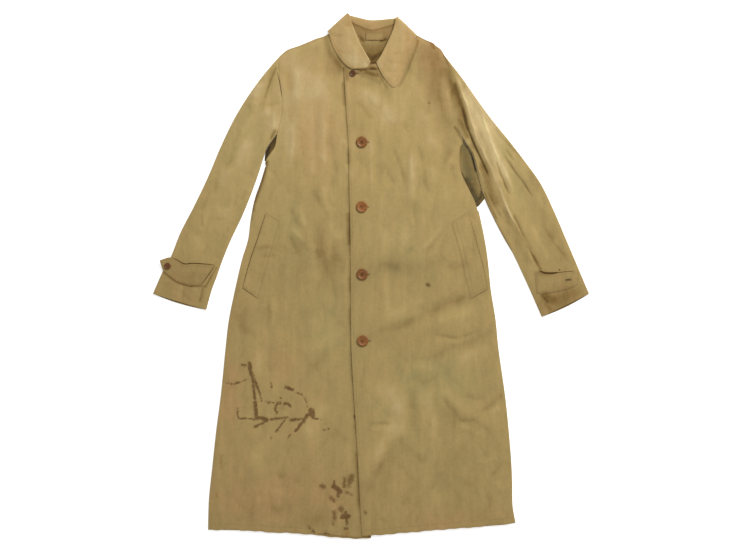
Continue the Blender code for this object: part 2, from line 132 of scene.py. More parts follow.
def nearest(p, line):
    """Distance of points from a polyline, and the share of its length passed there."""
    flat = p.reshape(-1, 2)
    lengths = np.linalg.norm(np.diff(line, axis=0), axis=1)
    best, share, passed = np.full(len(flat), np.inf), np.zeros(len(flat)), 0.0
    for a, b, length in zip(line, line[1:], lengths):
        t = np.clip((flat - a) @ (b - a) / length ** 2, 0, 1)
        gap = np.linalg.norm(flat - a - t[:, None] * (b - a), axis=1)
        closer = gap < best
        best[closer] = gap[closer]
        share[closer] = (passed + t[closer] * length) / lengths.sum()
        passed += length
    return best.reshape(p.shape[:-1]), share.reshape(p.shape[:-1])


def inward(line, towards):
    """Unit vectors square to a line, on the side of the given x."""
    along = np.gradient(line, axis=0)
    across = np.stack([along[:, 1], -along[:, 0]], 1)
    across /= np.linalg.norm(across, axis=1)[:, None]
    return across * np.sign(across[:, 0] * (towards - line[:, 0]))[:, None]


print("a quarter of the way along:", track(plan((0, 0), (100, 0), (100, 100)), 5)[1])

# %% [markdown]
# ## The cut
# These are the pattern's lines as the coat lies: side folds, armholes, shoulders, front edges and
# hems, in millimetres from the middle of the coat. They are the solids' lines, brought up to 12 mm
# closer to the picture at the armpits, along the left front edge and at the left shoulder. The
# sleeves are sections from armhole to cuff, and the collar is stations along its roll line.

# %% Cutting lines
Body = namedtuple("Body", "outline front_edge back_corner armhole shoulder lap_edge hem back_hem")
RIGHT = Body(
    outline=plan((-375, -584), (-373, -515), (-366, -446), (-356, -354), (-345, -269),
                 (-334, -159), (-327, -101), (-313, -32), (-297, 37), (-283, 83),
                 (-277, 129), (-268, 175), (-254, 216), (-243, 252)),
    front_edge=plan((-243, 262), (-238, 273), (-229, 285), (-221, 298), (-218, 313), (-216, 325)),
    back_corner=plan((-245, 266)),
    armhole=plan((-216, 327), (-210, 348), (-205, 378), (-205, 416), (-211, 460), (-212, 504)),
    shoulder=plan((-101, 555), (-126, 546), (-145, 538), (-168, 529), (-193, 520), (-212, 504)),
    lap_edge=plan((0, -603), (7, -400), (12, -147), (12, 159), (9, 308), (6, 405), (2, 467)),
    hem=plan((0, -603), (-44, -604), (-94, -600), (-163, -593), (-232, -590), (-301, -585),
             (-375, -584)),
    back_hem=plan((-2, -590), (-160, -588), (-350, -583)))
LEFT = Body(
    outline=plan((333, -568), (326, -527), (325, -469), (321, -400), (310, -285),
                 (294, -170), (287, -101), (276, -32), (269, 37), (262, 83),
                 (252, 132), (247, 152), (243, 166)),
    front_edge=plan((237, 176), (226, 198), (208, 236), (204, 262), (204, 284), (206, 298),
                    (211, 305), (211, 315), (205, 327), (199, 338)),
    back_corner=plan((249, 162)),
    armhole=plan((198, 340), (202, 370), (200, 416), (189, 462), (170, 506)),
    shoulder=plan((101, 548), (104, 552), (107, 553), (113, 550), (118, 547), (131, 541),
                  (143, 536), (149, 530), (161, 521), (170, 506)),
    lap_edge=plan((-21, -598), (-27, -492), (-33, -377), (-39, -285), (-46, -147), (-47, 5),
                  (-48, 106), (-50, 198), (-52, 308), (-57, 382), (-61, 451), (-62, 481)),
    hem=plan((-21, -598), (7, -597), (67, -592), (159, -584), (251, -577), (333, -568)),
    back_hem=plan((-2, -590), (150, -584), (306, -570)))
LAP_CORNER_RIGHT = plan((2, 467))
LAP_CORNER_LEFT = plan((-62, 481), (-43, 474))
CENTRE_BACK = plan((-2, -590), (-1, 300))
print("length from hem to neck:", round(LEFT.lap_edge[-1, 1] - LEFT.lap_edge[0, 1], 3), "m")

# %% Sleeve sections, collar stations and strips
# sleeve: outer fold x, y and inner fold x, y
SLEEVE_RIGHT = plan(
    (-212, 504, -216, 327), (-248, 462, -238, 297), (-283, 414, -249, 266),
    (-315, 361, -262, 226), (-345, 299, -279, 180), (-375, 228, -299, 132),
    (-407, 161, -322, 84), (-437, 103, -341, 38), (-460, 46, -354, 1),
    (-481, 7, -367, -34), (-502, -41, -379, -78))
SLEEVE_LEFT = plan(
    (170, 506, 198, 340), (205, 462, 218, 306), (239, 414, 235, 274),
    (276, 363, 248, 225), (315, 315, 262, 177), (352, 267, 283, 131),
    (391, 212, 306, 87), (421, 150, 327, 51), (448, 87, 347, 9),
    (476, 21, 368, -37), (502, -41, 393, -94))
# collar: roll line x, y, outer edge x, y, stand height, part of it that the fall makes
COLLAR_RIGHT = plan(
    (-2, 491, -37, 474, 16, 1), (-12, 508, -53, 482, 22, 4), (-28, 538, -71, 500, 28, 6),
    (-42, 570, -87, 527, 30, 8), (-51, 599, -98, 560, 32, 10))
COLLAR_BACK = plan(
    (-51, 599, -98, 560, 32, 10), (-25, 592, -48, 529, 43, 18), (0, 587, -1, 520, 46, 20),
    (32, 589, 56, 526, 43, 18), (58, 592, 103, 551, 32, 10))
COLLAR_LEFT = plan(
    (58, 592, 103, 551, 32, 10), (52, 566, 91, 508, 30, 8), (39, 536, 77, 470, 28, 6),
    (24, 506, 64, 443, 22, 4), (13, 490, 49, 430, 16, 1))
STAND_TAB = plan(
    (13, 490, 49, 430, 16, 1), (2, 488, 6, 438, 16, 1), (-10, 486, -12, 436, 14, 1),
    (-24, 480, -28, 430, 9, 1))
# strips: first and second edge, end to end
WELT_RIGHT = (plan((-242, 144), (-258, 93), (-279, 31), (-295, -27)),
              plan((-208, 124), (-222, 82), (-240, 20), (-259, -53)))
WELT_LEFT = (plan((224, 146), (241, 83), (259, 18), (268, -30)),
             plan((184, 122), (202, 64), (216, 0), (229, -53)))
STRAP_RIGHT = (plan((-359, 25), (-407, 28), (-430, 27), (-448, 37), (-463, 43), (-486, 36)),
               plan((-391, -21), (-410, -23), (-428, -21), (-448, -13), (-462, -3), (-479, 13)))
STRAP_LEFT = (plan((376, 10), (397, 5), (421, 4), (438, 8), (473, 10), (477, 2)),
              plan((381, -39), (397, -41), (421, -37), (446, -32), (470, -23), (477, -14)))
print("sleeve sections:", len(SLEEVE_RIGHT), "collar stations:", len(COLLAR_BACK))

# %% [markdown]
# ## Layers and large folds
# Cloth that lies on a table is a stack of thin layers: the back below, a little air, then the
# fronts, with the left one over the right one along the buttons. Height is therefore a function
# of the plan point, and every piece that lies higher asks the same function, so the layers follow
# each other. The large folds are the solids' own crests.

# %% Wall thicknesses and clear spaces
CLOTH, COLLAR_CLOTH, WELT_CLOTH, STRAP_CLOTH, LOOP_CLOTH = 0.0012, 0.0016, 0.0016, 0.0018, 0.0012
SEAM, REST, INNER = 0.00006, 0.0005, 0.0016
TURN = CLOTH + INNER / 2            # outer radius where a panel folds under
ROLL = 2 * COLLAR_CLOTH + 0.001     # height of the rolled-over collar
NECK_LIFT = ROLL - COLLAR_CLOTH
SIDE_UNDER, SLEEVE_FRONT, SLEEVE_NOTCH, SLEEVE_BACK = 0.022, 0.018, 0.045, 0.020
CUFF_REACH = 0.004
NECK_MIDDLE, NECK_RADII = plan((3, 570), (128, 62))     # where the back rises over the collar
NECK_SLOPE = 0.6            # width of that slope, as a share of the radii
LAP_BEFORE, LAP_RISE = 0.020, 0.018     # start ahead of the left front's edge, and length
LAP_AFTER, LAP_FALL = 0.036, 0.030      # end past the right front's edge, and length
# crest from x1, y1 to x2, y2, half width and height, all in millimetres
FOLDS = plan(
    (-163, 440, -172, 215, 30, 3.6), (-105, 380, -110, 235, 26, 2.2),
    (-190, 22, -85, 58, 26, 2.8), (-250, -150, -272, -520, 34, 3.4),
    (-140, -130, -150, -520, 32, 2.8), (-205, -90, -120, -60, 24, 2.2),
    (128, 405, 100, 185, 30, 3.4), (40, -134, 195, -102, 27, 3.4),
    (165, -284, 255, -345, 26, 3.4), (55, -390, 45, -480, 26, 2.4),
    (228, -400, 245, -520, 30, 2.8), (75, 30, 150, 5, 28, 2.6),
    (262, 330, 322, 154, 20, 5.0), (322, 154, 366, 52, 18, 4.2), (356, 225, 390, 160, 18, 3.2),
    (-275, 395, -330, 240, 22, 4.4), (-330, 240, -385, 110, 22, 3.4))


def fold_height(p):
    """Height of the large folds; where two run together the higher one counts."""
    total = np.zeros(p.shape[:-1])
    for x1, y1, x2, y2, half_width, height in FOLDS:
        away, _ = nearest(p, np.array([(x1, y1), (x2, y2)]))
        total += (height * np.exp(-(away / half_width) ** 2)) ** 4
    return total ** 0.25


def lower(p):
    """Floor side of the back, which rises over the collar."""
    away = (p - NECK_MIDDLE) / NECK_RADII
    reach = np.hypot(away[..., 0], away[..., 1])
    return NECK_LIFT * (1 - ramp((reach - 1.0) / NECK_SLOPE))


def lap(p):
    """Rise of the left front over the right one along the buttons."""
    x, y = p[..., 0], p[..., 1]
    start = ramp((x - np.interp(y, *LEFT.lap_edge.T[::-1]) + LAP_BEFORE) / LAP_RISE)
    end = ramp((np.interp(y, *RIGHT.lap_edge.T[::-1]) + LAP_AFTER - x) / LAP_FALL)
    return (CLOTH + REST) * start * end


print("a fold on the left sleeve:", round(float(fold_height(plan((285, 262))[0])) * 1000, 1), "mm")

# %% [markdown]
# ## Creases
# A worn coat keeps the creases of years of folding. Each row is one soft trough or ridge read off
# the picture: half width and height in millimetres, then the points that it runs through. Troughs
# have a negative height. A crease fades out at both ends. Random noise would look like crumpled
# paper, so the creases are listed one by one, and only a faint uneven swell is added.

# %% Creases of the fronts
CREASES_RIGHT_FRONT = (
    (9, -1.1, (288, 62), (288, 80), (289, 96)), (14, 1.6, (298, 64), (297, 90), (295, 112)),
    (26, 1.4, (318, 68), (315, 104)), (8, -1.1, (330, 106), (332, 150), (339, 182)),
    (8, 1.4, (324, 116), (323, 150), (327, 172)), (10, 1.7, (292, 114), (291, 140), (288, 168)),
    (9, -0.9, (301, 118), (304, 160), (308, 192)), (8, 0.9, (312, 148), (312, 178)),
    (7, -1.2, (313, 184), (317, 200), (326, 214)), (8, 1.3, (322, 183), (325, 200), (331, 216)),
    (6, -1.2, (289, 206), (296, 222), (304, 232)), (7, 1.4, (299, 203), (303, 220), (307, 232)),
    (7, -1.2, (286, 231), (293, 245), (302, 259)), (6, 1.3, (289, 227), (298, 236), (306, 244)),
    (12, -1.1, (318, 220), (323, 255), (333, 286), (341, 306)),
    (14, 1.5, (310, 233), (312, 262), (318, 288)), (8, -0.9, (316, 247), (318, 261)),
    (10, -0.7, (332, 243), (337, 256), (342, 266)), (10, 1.2, (329, 222), (339, 242)),
    (4, 1.1, (343, 138), (347, 149)), (4, -0.9, (345, 152), (349, 158), (347, 166)),
    (4, 1.1, (344, 163), (348, 176)), (5, -0.9, (250, 249), (268, 248), (280, 250)),
    (5, -0.8, (256, 257), (278, 256)), (6, -0.9, (267, 297), (268, 318), (266, 334)),
    (9, 1.0, (273, 298), (274, 332)), (12, -1.0, (233, 309), (242, 328), (254, 337)),
    (14, 1.2, (257, 332), (258, 384)), (12, -0.6, (268, 342), (270, 378)),
    (12, -0.8, (334, 350), (318, 362), (303, 376)), (14, 0.9, (342, 328), (318, 345), (298, 353)),
    (7, -0.7, (270, 475), (288, 478), (298, 482), (301, 492)),
    (8, -0.7, (264, 506), (280, 510), (299, 503)), (12, 0.9, (273, 491), (294, 495)),
    (6, -0.7, (222, 452), (221, 472)), (18, 1.1, (250, 442), (262, 478)),
    (6, -0.6, (257, 490), (263, 500)), (18, 1.2, (300, 442), (331, 398)),
    (10, 1.0, (345, 438), (349, 472)))
CREASES_LEFT_FRONT = (
    (9, -1.2, (354, 100), (364, 110), (373, 123)), (12, -1.2, (375, 118), (379, 150), (380, 188)),
    (5, 1.1, (370, 126), (371, 160), (371, 197)), (14, 1.4, (360, 90), (381, 105)),
    (6, -1.1, (383, 163), (389, 175), (395, 186)), (5, -1.2, (390, 144), (399, 163), (405, 188)),
    (10, 1.8, (408, 146), (412, 175), (412, 207)),
    (7, -1.2, (414, 139), (422, 158), (424, 180), (432, 200)), (10, 0.9, (431, 163), (433, 187)),
    (10, -1.2, (442, 62), (439, 82), (440, 100), (446, 118), (453, 133)),
    (9, 1.0, (447, 82), (449, 104), (455, 124)), (16, -0.9, (430, 72), (433, 108)),
    (3, -1.0, (453, 86), (451.5, 94), (451, 104)),
    (14, 1.3, (423, 108), (430, 130), (432, 152)), (9, -0.8, (401, 118), (406, 132)),
    (16, 1.4, (384, 103), (393, 127)), (5, -1.1, (442, 168), (448, 156), (453, 146)),
    (5, 1.4, (448, 168), (453, 156), (456, 144)), (6, -1.0, (451, 162), (455, 184)),
    (9, 0.8, (444, 180), (447, 207)), (6, -0.7, (414, 198), (415, 218), (418, 234)),
    (4.5, 1.5, (420, 252), (430, 240), (442, 226)), (5, -0.9, (423, 256), (434, 243), (444, 231)),
    (12, -1.0, (373, 268), (390, 266), (403, 271)), (10, -0.9, (397, 259), (406, 253), (415, 247)),
    (9, -1.0, (443, 271), (456, 266), (473, 264)), (22, 1.2, (374, 240), (412, 238)))
CREASES_LEFT_SKIRT = (
    (10, -1.2, (374, 332), (395, 328), (411, 322), (423, 319)),
    (11, -1.2, (423, 314), (440, 308), (456, 300), (472, 295)),
    (16, 1.4, (378, 319), (400, 312), (427, 299)), (14, 1.2, (428, 326), (460, 315), (487, 304)),
    (3.5, -1.2, (427, 333), (445, 337), (462, 337), (480, 330)), (6, 0.8, (429, 341), (462, 343)),
    (10, -1.2, (496, 316), (484, 335), (470, 344), (452, 347), (438, 356), (420, 358), (404, 365)),
    (16, 1.4, (492, 344), (470, 356), (448, 367)), (10, -0.9, (405, 377), (424, 382), (439, 374)),
    (10, 1.0, (410, 369), (432, 366)), (14, 1.3, (394, 381), (397, 410), (404, 443)),
    (14, 1.4, (425, 384), (430, 416), (441, 464)), (10, -1.0, (411, 384), (413, 415), (416, 437)),
    (6.5, -1.2, (433, 389), (449, 406), (461, 420), (476, 422), (488, 432), (495, 445)),
    (8, 0.6, (441, 386), (456, 404), (470, 415)), (9, 1.3, (456, 424), (472, 431), (484, 438)),
    (6, -0.7, (458, 396), (474, 399), (490, 398)), (6, -1.1, (506, 391), (492, 404), (476, 416)),
    (7, 1.2, (502, 406), (486, 415)), (3.5, -1.2, (367, 424), (380, 423.5), (392, 424.5)),
    (5, 0.9, (369, 429), (390, 430)), (16, 1.2, (372, 387), (394, 397)),
    (15, 1.7, (398, 416), (385, 440), (369, 468)),
    (9, -1.2, (394, 449), (380, 468), (371, 484), (363, 499)), (9, -0.6, (398, 436), (405, 454)),
    (8, -0.8, (405, 447), (426, 464)), (5, -1.0, (484, 484), (488, 503)),
    (5, -1.1, (506, 460), (498, 470), (488, 478)), (8, 1.0, (478, 462), (499, 458)),
    (8, 0.8, (494, 481), (504, 492)), (9, -0.8, (399, 506), (409, 497)),
    (16, 0.9, (429, 489), (446, 507)), (8, -0.7, (461, 481), (475, 489)))
print("creases of the fronts:",
      len(CREASES_RIGHT_FRONT) + len(CREASES_LEFT_FRONT) + len(CREASES_LEFT_SKIRT))

# %% Creases of the sleeves, the underside and the collar
CREASES_SLEEVES = (
    (8, -1.2, (277, 64), (270, 82), (263, 104)), (14, 2.0, (259, 78), (252, 100)),
    (4, -1.1, (249, 103), (249, 120)), (12, 2.2, (260, 109), (275, 120), (270, 134)),
    (5, -0.8, (282, 103), (270, 105), (260, 104)), (10, -0.8, (239, 123), (232, 150), (223, 174)),
    (12, 1.6, (248, 138), (237, 172)), (7, -0.9, (255, 158), (247, 180)),
    (9, 1.2, (229, 163), (219, 192)), (6, -0.9, (218, 178), (213, 197)),
    (6, -1.1, (211, 188), (204, 202), (199, 214)), (4, -0.9, (200, 212), (202, 230)),
    (6, 1.2, (208, 203), (203, 227)), (6, -1.0, (247, 190), (240, 202)),
    (14, 1.2, (226, 203), (219, 237)), (6, -0.7, (227, 218), (216, 220), (206, 219)),
    (5, -0.8, (233, 220), (225, 234)), (14, 1.0, (194, 233), (201, 252)),
    (4, -1.0, (203, 286), (200, 303)), (8, 0.8, (181, 286), (175, 298)),
    (5, -2.4, (446, 66), (450, 80), (454, 91), (459, 104), (463.5, 116), (466, 126), (469.5, 134),
     (472.5, 142), (477, 152), (481.5, 161), (486, 171), (490, 182), (494, 194)),
    (4.5, 2.6, (450, 62), (453, 72), (457, 80), (461.5, 92), (466.5, 105), (470, 116), (472, 124),
     (474.5, 132), (477.5, 140), (482, 150), (487, 161), (492, 172), (497, 184), (502, 198)),
    (3.5, 1.6, (456, 126), (464, 138), (471.5, 149), (476, 161), (480, 174), (485, 188)),
    (4, 2.2, (479, 104), (484, 121), (488.5, 134), (493.5, 148), (498.5, 161), (503, 173)),
    (3.6, -2.0, (495, 159), (500, 173), (505, 185), (510, 197)),
    (4, 1.8, (501, 159), (506, 174), (511, 186), (515, 197)),
    (3, -1.7, (501, 150), (512, 168), (522, 181.5), (534, 199)), (2.5, -1.2, (505, 148), (514, 162)),
    (5, -1.4, (492, 126), (505, 141), (516, 152), (527, 167)),
    (14, -1.0, (526, 168), (534, 184), (541, 199)),
    (3.6, 2.4, (497, 181), (507.5, 210), (516, 225), (525, 242), (532, 260), (537, 270)),
    (4.5, -2.2, (511, 211), (520, 230), (527.5, 247), (535, 260), (542, 272)),
    (5, -1.0, (540, 222), (556, 246), (574, 268)), (10, 1.4, (529, 223), (540, 245), (551, 264)),
    (6, -0.9, (499, 203), (508, 222), (517, 238)), (4, -1.2, (486, 190), (494, 206), (503, 222)),
    (5, -1.2, (535, 271), (545, 275), (557, 273)))
CREASES_BACK = (
    (14, 0.7, (330, 120), (322, 200), (318, 270)), (12, 0.6, (410, 130), (420, 215), (416, 280)),
    (10, 0.7, (300, 300), (345, 320), (400, 312)), (16, 0.6, (260, 350), (270, 430), (262, 505)),
    (12, 0.7, (455, 340), (470, 410), (486, 480)), (9, 0.6, (320, 360), (360, 378), (410, 370)),
    (11, 0.7, (380, 400), (372, 460), (384, 515)), (8, 0.6, (290, 150), (300, 185), (296, 215)),
    (8, 0.6, (440, 150), (436, 190), (446, 225)), (9, 0.5, (240, 280), (280, 268), (320, 276)),
    (10, 0.7, (330, 430), (318, 470), (326, 520)), (7, 0.5, (420, 430), (446, 450), (476, 446)))
CREASES_COLLAR = (
    (3.0, -0.7, (391, 55), (400, 53.5), (410, 50)), (3.0, -0.6, (384, 61), (393, 63), (402, 62)),
    (3.5, -0.6, (397, 43), (405, 42), (414, 38)), (3.2, -0.5, (384, 70), (391, 72), (399, 70)),
    (9.0, 0.7, (404, 32), (398, 56), (391, 78)), (3.2, -0.7, (330, 35), (338, 36.5), (346, 35)),
    (3.0, -0.6, (336, 49), (344, 53), (353, 53)), (7.0, 0.6, (345, 24), (351, 44), (359, 61)),
    (3.0, -0.5, (341, 22), (346, 26), (352, 27)))
RIDGE_GAIN, TROUGH_GAIN = 1.1, 1.3      # from the heights as read to the cloth's own


def crease_list(*tables):
    return [(width / 1000, height / 1000 * (RIDGE_GAIN if height > 0 else TROUGH_GAIN), seen(*path))
            for table in tables for width, height, *path in table]


TOP_CREASES = crease_list(CREASES_RIGHT_FRONT, CREASES_LEFT_FRONT, CREASES_LEFT_SKIRT,
                          CREASES_SLEEVES)
BACK_DENTS = crease_list(CREASES_BACK)
COLLAR_DENTS = crease_list(CREASES_COLLAR)
print("all creases:", len(TOP_CREASES), "on the back:", len(BACK_DENTS),
      "on the collar:", len(COLLAR_DENTS))

# %% [markdown]
# ## How a crease runs
# Each crease is a soft hump or trough along a smooth curve. Points are first shifted a little to
# and fro, so that no crease runs like a drawn line, and its height beats along its length.

# %% Height of the creases
wandering = np.random.default_rng(5)
WANDER = [(length, *wandering.uniform(0, 2 * math.pi, 3))
          for length in (0.017, 0.026, 0.041, 0.066)]
STRAY = 0.03                # sideways shift of a wave as a share of its length
FREE = 0.010                # narrower creases than this follow the shift less
BEAT, BEAT_DEPTH = 0.011, 0.22      # a crease deepens and fades along its length
END_FADE = 0.28             # share of the length over which each end dies away
SHARPNESS = 1.4             # 2 would be a round hump
CREASE_REACH = 3.5          # half widths beyond which a crease isn't worked out


def wave_phase(p, length, turn, phase):
    """Phase of a straight wave at plan points."""
    return 2 * math.pi / length * (p[..., 0] * math.cos(turn) + p[..., 1] * math.sin(turn)) + phase


def wander(p):
    """Points shifted a little to and fro, so that no crease runs like a drawn line."""
    moved = p.copy()
    for length, turn, first, second in WANDER:
        moved[..., 0] += STRAY * length * np.sin(wave_phase(p, length, turn, first))
        moved[..., 1] += STRAY * length * np.sin(wave_phase(p, length, turn, second))
    return moved


def crease_height(p, creases):
    """Sum of the creases at plan points, each one worked out only where it reaches."""
    total, moved = np.zeros(p.shape[:-1]), wander(p)
    for width, height, path in creases:
        reach = CREASE_REACH * width
        near = np.all((moved > path.min(0) - reach) & (moved < path.max(0) + reach), axis=-1)
        line = track(path, 4 * len(path))
        shifted = mix(p[near], moved[near], min(1.0, 0.2 + 0.8 * (width / FREE) ** 2))
        away, share = nearest(shifted, line)
        fade = ramp(share / END_FADE) * ramp((1 - share) / END_FADE)
        phase = share * line_length(line) / BEAT + 1000 * path[0, 0]
        beat = 1 - BEAT_DEPTH + BEAT_DEPTH * np.sin(phase)
        total[near] += height * fade * beat * np.exp(-(away / width) ** SHARPNESS)
    return total


print("wandering by up to", round(sum(STRAY * w[0] for w in WANDER) * 1000, 1), "mm")

# %% [markdown]
# ## Uneven swell
# Between its creases cloth is never quite level. A handful of long waves in different directions,
# drawn once with a fixed seed, gives a swell of a fraction of a millimetre that mostly runs along
# the grain. Sharp-topped waves that show only in patches add the many fine creases that are too
# faint to place one by one. With these the layers' final heights are complete.

# %% Heights of the layers
draws = np.random.default_rng(7)
WAVES = [(length, draws.normal(0, 0.5), draws.uniform(0, 2 * math.pi))
         for length in (0.021, 0.027, 0.034, 0.043, 0.058, 0.075, 0.096)]
CRUMPLES = [(spacing, draws.normal(0, 0.5), draws.uniform(0.07, 0.15), *draws.uniform(0, 6.28, 3))
            for spacing in np.linspace(0.020, 0.072, 14)]
SWELL_SLOPE = 0.0040        # height of a wave as a share of its length
CRUMPLE_SLOPE = 0.010       # height of a fine crease as a share of their spacing
LOFT = 0.0010               # air between the layers, away from the folded edges
DEEPEST = -0.0012           # a trough stops short of the layer below


def swell(p):
    return sum(SWELL_SLOPE * length * np.sin(wave_phase(p, length, turn, phase))
               for length, turn, phase in WAVES)


def crumple(p):
    """Fine broken creases, every second one a ridge."""
    moved, total = wander(p), np.zeros(p.shape[:-1])
    for k, (spacing, turn, patch_size, phase, patch_turn, patch_phase) in enumerate(CRUMPLES):
        sharp = (1 - np.abs(np.sin(wave_phase(moved, 2 * spacing, turn, phase)))) ** 3
        shown = np.maximum(0, np.sin(wave_phase(moved, patch_size, patch_turn, patch_phase)) - 0.1)
        total += (-1) ** k * CRUMPLE_SLOPE * spacing * sharp * shown
    return total


def upper(p, folds=1.0, creases=1.0):
    """Inner side of the layer that lies on the back."""
    rise = folds * fold_height(p) + creases * (
        LOFT + crease_height(p, TOP_CREASES) + swell(p) + crumple(p))
    return lower(p) + CLOTH + INNER + np.maximum(rise, DEEPEST)


def top(p):
    """Face side of the fronts."""
    return upper(p) + lap(p) + CLOTH


print("swell of up to", round(sum(SWELL_SLOPE * w[0] for w in WAVES) * 1000, 2), "mm")

# %% [markdown]
# ## From a grid of points to a wall of cloth
# Each piece is a grid of points on its face side. A closed wall needs a second side and a rim.
# The face side carries all the detail, and the inner side uses every second row and column,
# which is enough for a side that mostly can't be seen and keeps the mesh light. Only the backs keep
# every row on both sides, because their inner side shows at the neck. The length along rows and
# columns becomes a map in metres, so that the weave follows the grain of the piece, and the
# distance from the cut edge is kept for wear. A grid may leave points out, as not-a-number.

# %% Wall builder
def odd_count(length, step):
    """Number of points along a length, odd so that every second one reaches both ends."""
    return 2 * max(round(length / step / 2), 2) + 1


def put_attribute(mesh, name, values):
    mesh.attributes.new(name, "FLOAT", "POINT").data.foreach_set("value", values.astype(np.float32))


def wall_mesh(name, grid, wall, faces_up, every=2):
    """Closed mesh: the grid as face side, an inner side one wall further in, and a rim between."""
    there = ~np.isnan(grid[..., 0])
    index = np.full(there.shape, -1)
    index[there] = np.arange(there.sum())
    points, place = grid[there], np.argwhere(there)

    def cells(step):
        i = index[::step, ::step]
        quads = np.stack([i[:-1, :-1], i[:-1, 1:], i[1:, 1:], i[1:, :-1]], -1).reshape(-1, 4)
        return quads[(quads >= 0).all(1)]

    fine, coarse = cells(1), cells(every)
    a, b, c, d = (points[fine[:, k]] for k in range(4))
    across = np.cross(c - a, d - b)
    if (across[0, 2] > 0) != faces_up:
        fine, coarse, across = fine[:, ::-1], coarse[:, ::-1], -across
    normals = np.zeros_like(points)
    for k in range(4):
        np.add.at(normals, fine[:, k], across)
    normals /= np.linalg.norm(normals, axis=1)[:, None]
    used = np.unique(coarse)
    inner_side = np.full(len(points), -1)
    inner_side[used] = len(points) + np.arange(len(used))
    edges = np.concatenate([coarse[:, [k, (k + 1) % 4]] for k in range(4)])
    code = edges[:, 0] * len(points) + edges[:, 1]
    rim = edges[~np.isin(code, edges[:, 1] * len(points) + edges[:, 0])]
    middle = index[tuple(((place[rim[:, 0]] + place[rim[:, 1]]) // 2).T)]
    between = [middle] if every == 2 else []
    rim = np.stack([rim[:, 1], *between, rim[:, 0], inner_side[rim[:, 0]], inner_side[rim[:, 1]]], 1)
    mesh = bpy.data.meshes.new(name)
    walls = np.broadcast_to(wall, there.shape)[there][used]
    mesh.from_pydata(np.vstack([points, points[used] - walls[:, None] * normals[used]]), [],
                     fine.tolist() + inner_side[coarse][:, ::-1].tolist() + rim.tolist())
    mesh.shade_smooth()
    mesh.set_sharp_from_angle(angle=math.radians(55))

    def lengths(axis):
        steps = np.linalg.norm(np.diff(grid, axis=axis, prepend=np.take(grid, [0], axis)), axis=-1)
        return np.where(there, np.nancumsum(steps, axis=axis), np.nan)

    u, v = lengths(1), lengths(0)
    edge = np.minimum(np.minimum(u, np.nanmax(u, 1, keepdims=True) - u),
                      np.minimum(v, np.nanmax(v, 0, keepdims=True) - v))
    both = np.append(np.arange(len(points)), used)
    put_attribute(mesh, "edge", edge[there][both])
    corners = np.zeros(len(mesh.loops), int)
    mesh.loops.foreach_get("vertex_index", corners)
    grain = np.stack([u[there], v[there]], 1)[both][corners]
    mesh.uv_layers.new(name="grain").data.foreach_set("uv", grain.ravel().astype(np.float32))
    return mesh


test = wall_mesh("test", np.dstack([*np.meshgrid(np.arange(5), np.arange(5)), np.zeros((5, 5))])
                 .astype(float), 0.1, True)
print("a five by five test grid has", len(test.polygons), "faces")
bpy.data.meshes.remove(test)

# %% [markdown]
# ## Tone, painted light, soil and stains
# What the finish reads is stored on the cloth's points: how light it is, how pink or how olive, how
# deep in a crease it lies, and how far inside a stain. Light and warmth are broad soft patches over
# a slow change from collar to hem; many patches are painted shade and some are painted highlights.
# Narrow soft strokes add painted shade, some soil and painted highlights. A stain is a stroke with a
# half width, so a point's depth inside it is the half width less the distance. The finish turns that
# depth into a ragged edge.

# %% Patches of tone, painted light and soil
# picture height and the cloth's lightness there: lighter towards the collar, darker towards the hem
LIGHTNESS_BY_HEIGHT = ((15, 0.14), (100, 0.115), (150, 0.07), (200, 0.02), (250, -0.025), (280, -0.07),
        (330, -0.04), (400, -0.06), (450, -0.07), (500, -0.09), (540, -0.10))
